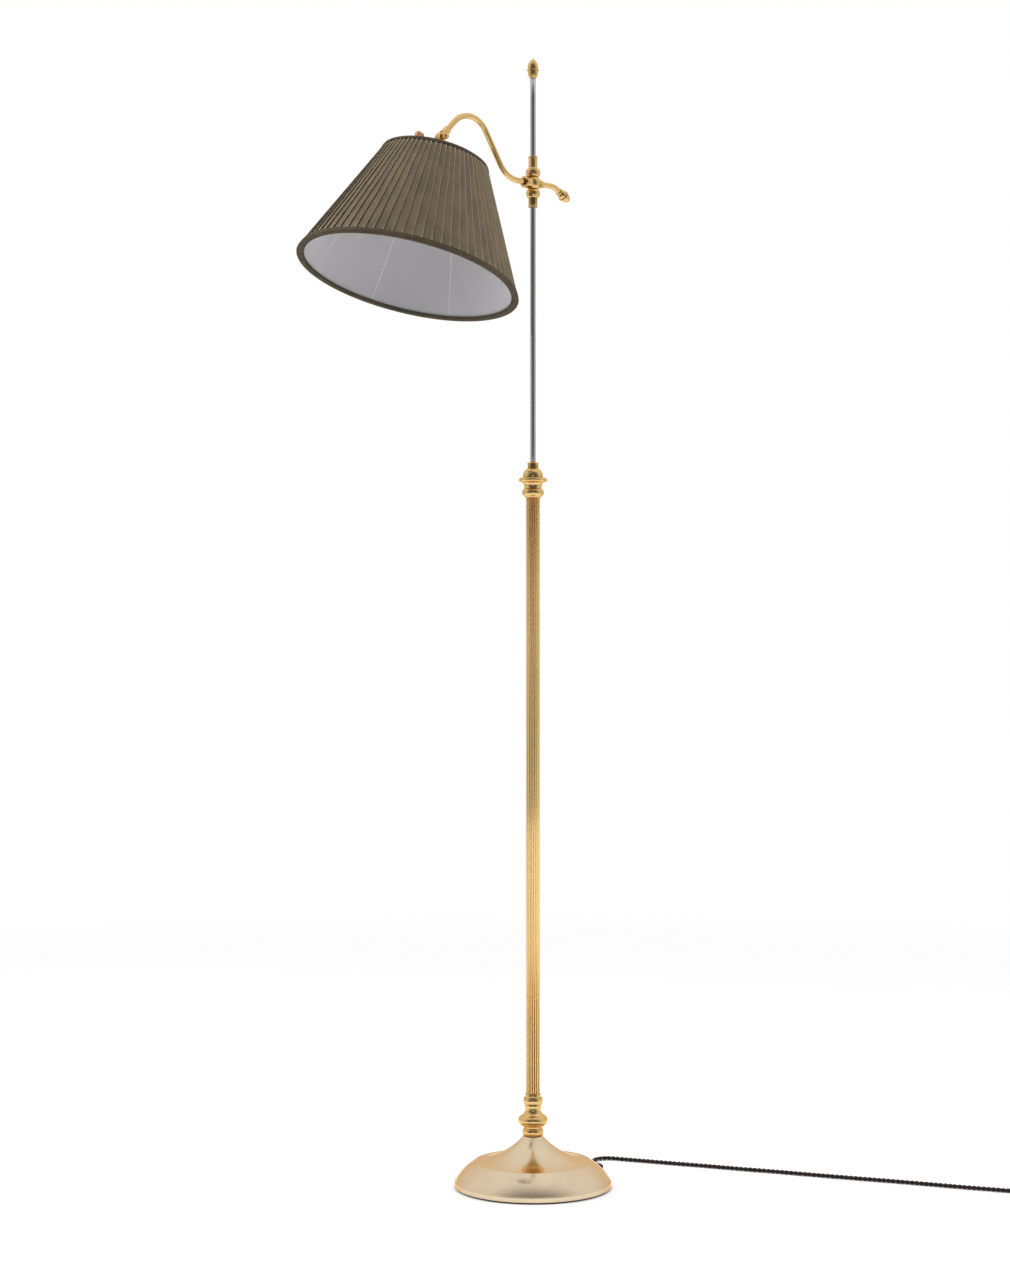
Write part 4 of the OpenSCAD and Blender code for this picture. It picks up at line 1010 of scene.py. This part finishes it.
class LAMP_OT_arm(bpy.types.Operator):
    """Bend the swan arm and make the fork, thumb screw and nut at its end"""

    bl_idname = "lamp.arm"
    bl_label = "Arm"

    def execute(self, context):
        start = STUB_IN + 3.6
        place = AT_HEAD @ TOWARDS_SHADE @ shift(z=start)
        keep(bent_bar(ARM_R, [(28.5 - start,), (39, 57), (49,), (36.5, -101.5), (22.5,)], place),
            "swan_arm", "drawn_brass", "arm", ["arm_tube"])
        end = AT_PIVOT @ spin(90 - 44.5, "Y")
        barrel = [(0, 7.6), (4.6, 7.6), (5.2, 8.4), (5.2, 15.6), (4.9, 16.2), (4.9, 17.1),
            (4.5, 17.5),
            (3.85, 17.5)]
        cheeks = []
        for side in (-1, 1):
            disc = [(0, 0), (5.7, 0), (6, 0.3), (6, 2.1), (5.7, 2.4), (0, 2.4)]
            cheeks.append(lathe(disc, AT_PIVOT @ shift(y=side * 3.3 - 1.2)
                @ ACROSS, 40))
            cheeks.append(block((9.4, 2.0, 9.2),
                end @ shift(0, side * 3.2, 4.7), 0.5))
        keep(together(lathe(barrel, end, 48), *cheeks), "arm_clevis", "gold_brass", "arm",
            ["arm_fork"])
        finish_node("arm_stub", "dark_brass")
        finish_node("arm_wire", "cord_cloth")
        outward = AT_PIVOT @ shift(y=-4.6) @ ACROSS @ spin(180, "X")
        head = [(0, 0), (2.8, 0), (2.8, 1.6), (3.7, 1.6), (4.2, 2.0),
            *[(4.4, 2.2 + i * 0.46) for i in range(10)],
            (4.1, 6.9), (3.4, 7.0), *arc((3.4, 7.0), (0.001, 8.4), -0.4, 8)[:-1], (0, 8.4)]
        screw = lathe(head, None, 144)
        knurl(screw, 4.4, 24, 0.3, 2.1, 6.6)
        screw.transform(outward)
        shank = lathe([(0, -8.6), (2, -8.6), (2, 0.2), (0, 0.2)], outward, 24)
        keep(together(screw, shank), "thumb_screw", "gold_brass", "arm", ["pivot_screw"])
        nut = [(0, 0), (4, 0), (4, 2.6), *arc((4, 2.6), (0.001, 6.4), -1.1, 14)[:-1], (0, 6.4)]
        keep(lathe(nut, AT_PIVOT @ shift(y=4.6) @ ACROSS, 40), "dome_nut",
            "gold_brass", "arm", ["pivot_nut"])
        return {"FINISHED"}


class LAMP_OT_handle(bpy.types.Operator):
    """Bend the short handle behind the head and cap it with an acorn"""

    bl_idname = "lamp.handle"
    bl_label = "Handle"

    def execute(self, context):
        lead = BALL_R + 8 + 14
        place = AT_HEAD @ TOWARDS_TAIL @ shift(z=STUB_IN + 0.6)
        keep(bent_bar(TAIL_R, [(lead - STUB_IN - 0.6,), (26, 30), (12,)], place), "handle_bar",
            "drawn_brass", "head", ["tail_tube"])
        s, c = math.sin(math.radians(30)), math.cos(math.radians(30))
        end = AT_HEAD @ shift(lead + 26 * s + 7 * c, 0, -(26 * (1 - c) + 7 * s)) @ spin(120, "Y")
        ring = [(3.75, -3), (4.6, -3), (5.1, -2.7), (5.3, -2.2), (5.3, -1.2), (5.1, -0.7),
            (4.6, -0.4), (3.75, -0.4)]
        keep(lathe(ring, end, closed=True), "handle_ring", "gold_brass", "head", ["tail_ring"])
        keep(acorn(20, 15.5, end), "handle_acorn", "gold_brass", "head", ["tail_knob"])
        return {"FINISHED"}


# Lampholder and bulb


class LAMP_OT_lampholder(bpy.types.Operator):
    """Make the knuckle, the holder, its switch and the bulb"""

    bl_idname = "lamp.lampholder"
    bl_label = "Lampholder and bulb"

    def execute(self, context):
        tongue = lathe([(0, 0), (5.3, 0), (5.6, 0.3), (5.6, 3.7), (5.3, 4), (0, 4)],
            AT_PIVOT @ shift(y=-2) @ ACROSS, 40)
        web = block((7.2, 4, 8.6), IN_SHADE @ shift(z=-4.1), 0.4)
        stem = lathe([(0, -13), (4.2, -13), (4.2, -8), (4.5, -7.9), (4.5, -7.1), (4.2, -6.9),
            (0, -6.9)],
            IN_SHADE, 32)
        keep(together(tongue, web, stem), "holder_swivel", "gold_brass", "shade",
            ["holder_knuckle"])
        r = 14.5
        dome = [(4.25, -8), *arc((4.25, -8), (r, -16), 2.2, 14), (r, -26), (r - 1.6, -26),
            (r - 1.6, -17), *arc((r - 1.6, -17), (4.25, -9.8), -2, 14)]
        keep(lathe(dome, IN_SHADE, closed=True), "holder_dome", "gold_brass", "shade",
            ["holder_cap"])
        ridges = [(r - 0.1, -26.2), (r, -26.5), (r, -30.6), (r - 0.4, -30.9), (r - 2, -30.9)]
        for i in range(11):
            ridges += [(12.5, -32.2 - 2.4 * i), (11.9, -33.2 - 2.4 * i)]
        keep(lathe([*ridges, (12.5, -60), (11.3, -60), (11.3, -26.2)], IN_SHADE, closed=True),
            "holder_shell", "dark_brass", "shade", ["holder_body"])
        core = [(0, -29.5), (11.2, -29.5), (11.2, -58.4), (10.8, -59), (7.6, -59), (7.25, -58.6),
            (7.25, -40), (0, -40)]
        keep(lathe(core, IN_SHADE, 48), "holder_core", "porcelain", "shade", ["holder_insert"])
        rim = lathe([(12.6, -50.6), (16.9, -50.6), (17.4, -50.2),
            *[(17.5, -49.9 + 0.4 * i) for i in range(8)],
            (17.2, -46.8), (12.6, -46.4)], None, 144, closed=True)
        knurl(rim, 17.5, 36, 0.5, -50.2, -46.9)
        rim.transform(IN_SHADE)
        keep(rim, "shade_clamp", "dark_brass", "shade", ["shade_clamp_ring"])
        at_switch = IN_SHADE @ shift(z=KEY_Z) @ TOWARDS_SHADE
        bush = [(2.05, 10.5), (3.4, 10.5), (3.4, 14.9), (4.2, 14.9), (4.2, 16.7), (3.4, 16.7),
            (3.4, 19.2),
            (3.1, 19.5), (2.05, 19.5)]
        keep(lathe(bush, at_switch, 40, closed=True), "switch_collar", "gold_brass", "shade",
            ["switch_bush"])
        knob = lathe([(0, 31), (4.0, 31), (4.6, 31.3),
            *[(4.75, 31.6 + 0.5 * i) for i in range(17)],
            (4.2, 40.3), (3.4, 40.9), (0, 41)], None, 144)
        knurl(knob, 4.75, 22, 0.4, 31.5, 39.8)
        knob.transform(at_switch)
        shaft = lathe([(0, 9), (2, 9), (2, 31.2), (0, 31.2)], at_switch, 24)
        keep(together(knob, shaft), "turn_knob", "copper_knob", "key", ["switch_key"])
        screw = [(0, -61.9), *[(7.0 - 0.5 * (i % 2), -61.9 + 0.9 * i) for i in range(16)],
            (3.2, -46.6),
            (2.6, -44), (0, -44)]
        keep(lathe(screw, IN_SHADE, 48), "bulb_screw", "zinc_steel", "shade", ["bulb_cap"])
        tip, r = -120.0, 22.5
        mid = tip + r
        globe = [(0, tip), *[(r * math.sin(a), mid - r * math.cos(a)) for a in
            [math.radians(4 + 4 * i) for i in range(33)]], *arc((r * math.sin(math.radians(132)),
            mid - r * math.cos(math.radians(132))), (7.1, -63), 1.5, 10), (7, -62), (0, -62)]
        keep(lathe(globe, IN_SHADE, 64), "bulb_envelope", "bulb_glass", "shade", ["bulb_glass"])
        return {"FINISHED"}


# Shade


def cone_r(z):
    """Radius of the shade's finished outside at a height in its own frame."""
    return TOP_R + (MOUTH_R - TOP_R) * (TOP_Z - z) / (TOP_Z - MOUTH_Z)


def rib_lines(inset, top, mouth, wire, sides):
    """Straight bars down the shade, one at each rib, an inset inside its finished outside."""
    count, first = look("shade").ribs, look("shade").rib_turn
    bars = []
    for i in range(count):
        turn = Matrix.Rotation(first + math.tau * i / count, 4, "Z")
        ends = [IN_SHADE @ turn @ Vector(((cone_r(z) - inset) * MM, 0, z * MM))
            for z in (top, mouth)]
        bars.append(straight_bar(*ends, wire, sides))
    return together(*bars)


class LAMP_OT_shade_frame(bpy.types.Operator):
    """Make the wire rings, the ribs and the carrier of the shade"""

    bl_idname = "lamp.shade_frame"
    bl_label = "Shade frame"

    def execute(self, context):
        top, mouth = TOP_Z - 2.4, MOUTH_Z + 2.4
        for z, name, stands_for in ((top, "top_hoop", "top_ring"),
                (mouth, "mouth_hoop", "mouth_ring")):
            wire = hoop(cone_r(z) - WIRE_IN, z, 3, IN_SHADE)
            keep(wire, name, "frame_wire", "shade", [stands_for])
        ribs = rib_lines(WIRE_IN, top - 1.6, mouth + 1.6, 2.4, 12)
        keep(ribs, "shade_rib_wires", "frame_wire", "shade", ["shade_ribs"])
        hub_z = CLAMP_Z + 0.4
        parts = [lathe([(12.7, hub_z - 0.7), (19.1, hub_z - 0.7), (19.3, hub_z - 0.4),
            (19.3, hub_z + 0.6),
            (19.1, hub_z + 0.9), (12.7, hub_z + 0.9)], IN_SHADE, closed=True)]
        for a in (30, 150, 270):
            turn = spin(a)
            p, q = Vector((17.3, 0, hub_z)) * MM, Vector((cone_r(top) - WIRE_IN, 0, top)) * MM
            q -= (q - p).normalized() * 1.4 * MM
            parts.append(straight_bar(IN_SHADE @ turn @ p, IN_SHADE @ turn @ q, 3))
        keep(together(*parts), "shade_spider", "frame_wire", "shade", ["shade_carrier"])
        return {"FINISHED"}


class LAMP_OT_shade_cloth(bpy.types.Operator):
    """Fold the pleated cover, stretch the lining and bind both edges"""

    bl_idname = "lamp.shade_cloth"
    bl_label = "Shade cloth"

    def execute(self, context):
        width, cover = self.cover()
        piece = keep(cover, "pleated_cover", "pleated_cloth", "shade", ["shade_cover"], wall=0.3,
            crease=50)
        line = [(cone_r(z) - LINING_IN, z)
            for z in [TOP_Z - 0.9 - CLOTH_H * i / 24 for i in range(25)]]
        lining = keep(lathe(line, IN_SHADE, 144), "stretched_lining", "lining_cloth", "shade",
            ["shade_lining"], wall=0.5)
        # Ridges over the ribs, coloured with the brightened lining as a painted highlight.
        seams = rib_lines(LINING_IN + 0.6, TOP_Z - 5.2, MOUTH_Z + 6.8, 1.5, 10)
        seam_highlight = keep(seams, "lining_seams", "seam_tape", "shade")
        # Both bindings carry the darkened cloth colour, which is painted shade.
        keep(self.binding(MOUTH_Z, 7, 1), "mouth_binding", "trim_tape", "shade", ["mouth_trim"])
        keep(self.binding(TOP_Z, 5, -1), "top_binding", "trim_tape", "shade", ["top_trim"])
        return {"FINISHED"}

    def cover(self):
        """The pleated cover and the width of its cloth. Each pleat's free fold is on its right;
        its cloth turns back under that fold and goes on as the face of the next pleat."""
        count, under = look("shade").pleats, look("shade").underlap
        steps = [(0.0, 0), (0.25, 0), (0.5, 0), (0.74, 0), (0.87, 0), (0.96, 0), (1.0, 0),
            (0.93, 1),
            (0.5, 1)]
        mouth_pitch = math.tau * (cone_r(MOUTH_Z) - 1) * MM / count
        cloth = mouth_pitch + 2 * under
        bm = bmesh.new()
        bmesh.ops.create_circle(bm, cap_ends=False, radius=0.1, segments=count * len(steps))
        made = bm.verts.layers.float_vector.new("made")
        number = bm.verts.layers.int.new("number")
        for v in bm.verts:
            v[number] = round((math.atan2(v.co.y, v.co.x) % math.tau) / math.tau
                * count * len(steps)) % (count * len(steps))
        rows = 22

        def lay(verts, row):
            z = MOUTH_Z + 0.9 + CLOTH_H * row / rows
            outer = cone_r(z) - 0.75
            pitch = math.tau * outer * MM / count
            hidden = (cloth - pitch) / 2
            for v in verts:
                pleat, step = divmod(v[number], len(steps))
                t, back = steps[step]
                lean = 0.0004 * math.sin(pleat * 2.4) + 0.0003 * math.sin(row * 0.5 + pleat * 1.7)
                fold = (pleat + 1) * pitch + lean * math.sin(math.pi * row / rows)
                start = pleat * pitch - hidden
                if not back:
                    along = start + (fold - start) * t
                    depth = 2.3 * (1 - t) - 0.5 * math.exp(-((t - 0.9) / 0.07) ** 2)
                    reach = (fold - start) * t
                else:
                    end = (pleat + 1) * pitch - hidden
                    along = end + (fold - end) * t
                    depth = 2.25 * (1 - t) + 0.25 * math.sin(math.pi * t)
                    reach = cloth - hidden * t
                a = along / (outer * MM)
                r = (outer - depth) * MM
                v.co = (r * math.cos(a), r * math.sin(a), z * MM)
                v[made] = (reach, z * MM * 1.1, pleat * 0.05)

        ring = list(bm.edges)
        lay(bm.verts, 0)
        for row in range(1, rows + 1):
            new, ring = grow(bm, ring)
            lay(new, row)
        bmesh.ops.recalc_face_normals(bm, faces=bm.faces)
        turn_outwards(bm)
        bm.transform(IN_SHADE)
        return cloth * count, bm

    def binding(self, edge, height, way):
        """Tape folded over an edge of the shade, a little padded where it turns."""
        far = edge + way * height
        near = edge + way * height * 0.5
        outer = [(cone_r(far) + 0.0, far), (cone_r(edge + way * 3) + 0.15, edge + way * 3),
            (cone_r(edge + way) - 0.05, edge + way), (cone_r(edge) - 1.1, edge + way * 0.15),
            (cone_r(edge) - 2.5, edge)]
        inner = [(cone_r(edge) - 6.3, edge), (cone_r(edge) - 7.9, edge + way * 0.4),
            (cone_r(edge + way) - 8.3, edge + way * 1.4), (cone_r(near) - 8.1, near)]
        back = [(cone_r(near) - 7.55, near), (cone_r(far) - 7.5, edge + way * 2),
            (cone_r(edge) - 1.2, edge + way * 2), (cone_r(far) - 0.7, far)]
        return lathe(outer + inner + back, IN_SHADE, 144, closed=True)


# Stage

# Each soft light's name, place, size and power in watts
LIGHTS = (
    ("left_panel", (-2.0, 2.3, 1.9), (1.4, 2.4), 34),
    ("right_panel", (2.3, -1.9, 1.5), (1.2, 2.4), 28),
    ("top_panel", (-0.2, 0.2, 3.4), (2.6, 2.6), 44),
    ("low_panel", (-1.8, -1.9, 0.5), (1.6, 0.9), 1.5),
)


class LAMP_OT_stage(bpy.types.Operator):
    """Lay the pale floor and set up the soft studio light"""

    bl_idname = "lamp.stage"
    bl_label = "Floor and light"

    def execute(self, context):
        self.floor()
        self.world(context.scene)
        strength = look("stage").light
        for name, place, size, power in LIGHTS:
            data = bpy.data.lights.new(name, "AREA")
            data.shape, (data.size, data.size_y), data.energy = "RECTANGLE", size, power * strength
            lamp = bpy.data.objects.new(name, data)
            context.scene.collection.objects.link(lamp)
            lamp.location = place
            lamp.visible_glossy = name == "low_panel"
            aim = Vector((-0.05, 0, 0.9)) - Vector(place)
            lamp.rotation_euler = aim.to_track_quat("-Z", "Y").to_euler()
        context.scene.view_settings.view_transform = "Standard"
        context.scene.view_settings.look = "None"
        return {"FINISHED"}

    def floor(self):
        """A pale round floor that fades out at its edge."""
        bm = bmesh.new()
        bmesh.ops.create_circle(bm, cap_ends=True, radius=4.0, segments=96)
        mesh = bpy.data.meshes.new("floor")
        bm.to_mesh(mesh)
        bm.free()
        floor = bpy.data.objects.new("floor", mesh)
        bpy.context.scene.collection.objects.link(floor)
        material = bpy.data.materials.new("floor")
        material.use_nodes = True
        tree = material.node_tree
        shader = tree.nodes["Principled BSDF"]
        shader.inputs["Roughness"].default_value = 0.9
        shader.inputs["Specular IOR Level"].default_value = 0.1
        place = node(tree, "TexCoord").outputs["Object"]
        patches = place_effect(tree, "Mottling", Coordinates=place, Scale=1.5)
        colour = blend_colours(tree, patches[0], tone(("stage", "floor", 0.985)),
            tone(("stage", "floor", 1)))
        tree.links.new(colour, shader.inputs["Base Color"])
        far = node(tree, "VectorMath", {0: place}, operation="LENGTH").outputs["Value"]
        fade = node(tree, "MapRange", {0: far, 1: 1.0, 2: 3.6, 3: 1.0, 4: 0.0},
            interpolation_type="SMOOTHSTEP").outputs[0]
        tree.links.new(fade, shader.inputs["Alpha"])
        mesh.materials.append(material)

    def world(self, scene):
        """White all round, and darker towards the front, as the open side of a light tent is."""
        world = bpy.data.worlds.new("studio")
        scene.world = world
        world.use_nodes = True
        tree = world.node_tree
        back = tree.nodes["Background"]
        back.inputs["Color"].default_value = (1, 1, 1, 1)
        aim = node(tree, "TexCoord").outputs["Generated"]
        front = node(tree, "VectorMath", {0: aim, 1: tuple(-AWAY)},
            operation="DOT_PRODUCT").outputs["Value"]
        opening = node(tree, "MapRange", {0: front, 1: 0.1, 2: 0.9, 3: 1.0, 4: 0.16},
            interpolation_type="SMOOTHSTEP").outputs[0]
        height = node(tree, "SeparateXYZ", {0: aim}).outputs[2]
        upper = node(tree, "MapRange", {0: height, 1: -0.1, 2: 0.9, 3: 0.74, 4: 0.95}).outputs[0]
        glow = maths(tree, "MULTIPLY", opening, upper)
        seen = node(tree, "LightPath").outputs["Is Camera Ray"]
        level = node(tree, "Mix", {0: seen, 2: glow, 3: 1.0}).outputs[0]
        tree.links.new(level, back.inputs["Strength"])


class LAMP_PT_pieces(bpy.types.Panel):
    """The lamp's settings and the buttons that make its pieces"""

    bl_idname = "LAMP_PT_pieces"
    bl_label = "Floor lamp"
    bl_space_type = "VIEW_3D"
    bl_region_type = "UI"
    bl_category = "Floor lamp"

    def draw(self, context):
        for group in LOOKS:
            settings = getattr(context.scene, "lamp_" + group)
            box = self.layout.box()
            for name in settings.bl_rna.properties.keys():
                if name not in {"rna_type", "name"}:
                    box.prop(settings, name)
        for operator in MAKERS:
            self.layout.operator(operator.bl_idname)


LOOKS = {"stand": StandLook, "shade": ShadeLook, "cord": CordLook, "stage": StageLook}
MAKERS = (LAMP_OT_camera, LAMP_OT_cord, LAMP_OT_base, LAMP_OT_fittings, LAMP_OT_column,
    LAMP_OT_head, LAMP_OT_arm, LAMP_OT_handle, LAMP_OT_lampholder, LAMP_OT_shade_frame,
    LAMP_OT_shade_cloth, LAMP_OT_stage)


def register():
    for kind in (*LOOKS.values(), *MAKERS, LAMP_PT_pieces):
        bpy.utils.register_class(kind)
    for name, kind in LOOKS.items():
        setattr(bpy.types.Scene, "lamp_" + name, PointerProperty(type=kind))


def unregister():
    for name in LOOKS:
        delattr(bpy.types.Scene, "lamp_" + name)
    for kind in reversed((*LOOKS.values(), *MAKERS, LAMP_PT_pieces)):
        bpy.utils.unregister_class(kind)


def main():
    """Make every piece of the lamp and its stage."""
    register()
    for maker in MAKERS:
        group, name = maker.bl_idname.split(".")
        getattr(getattr(bpy.ops, group), name)()


if __name__ == "__main__":
    main()
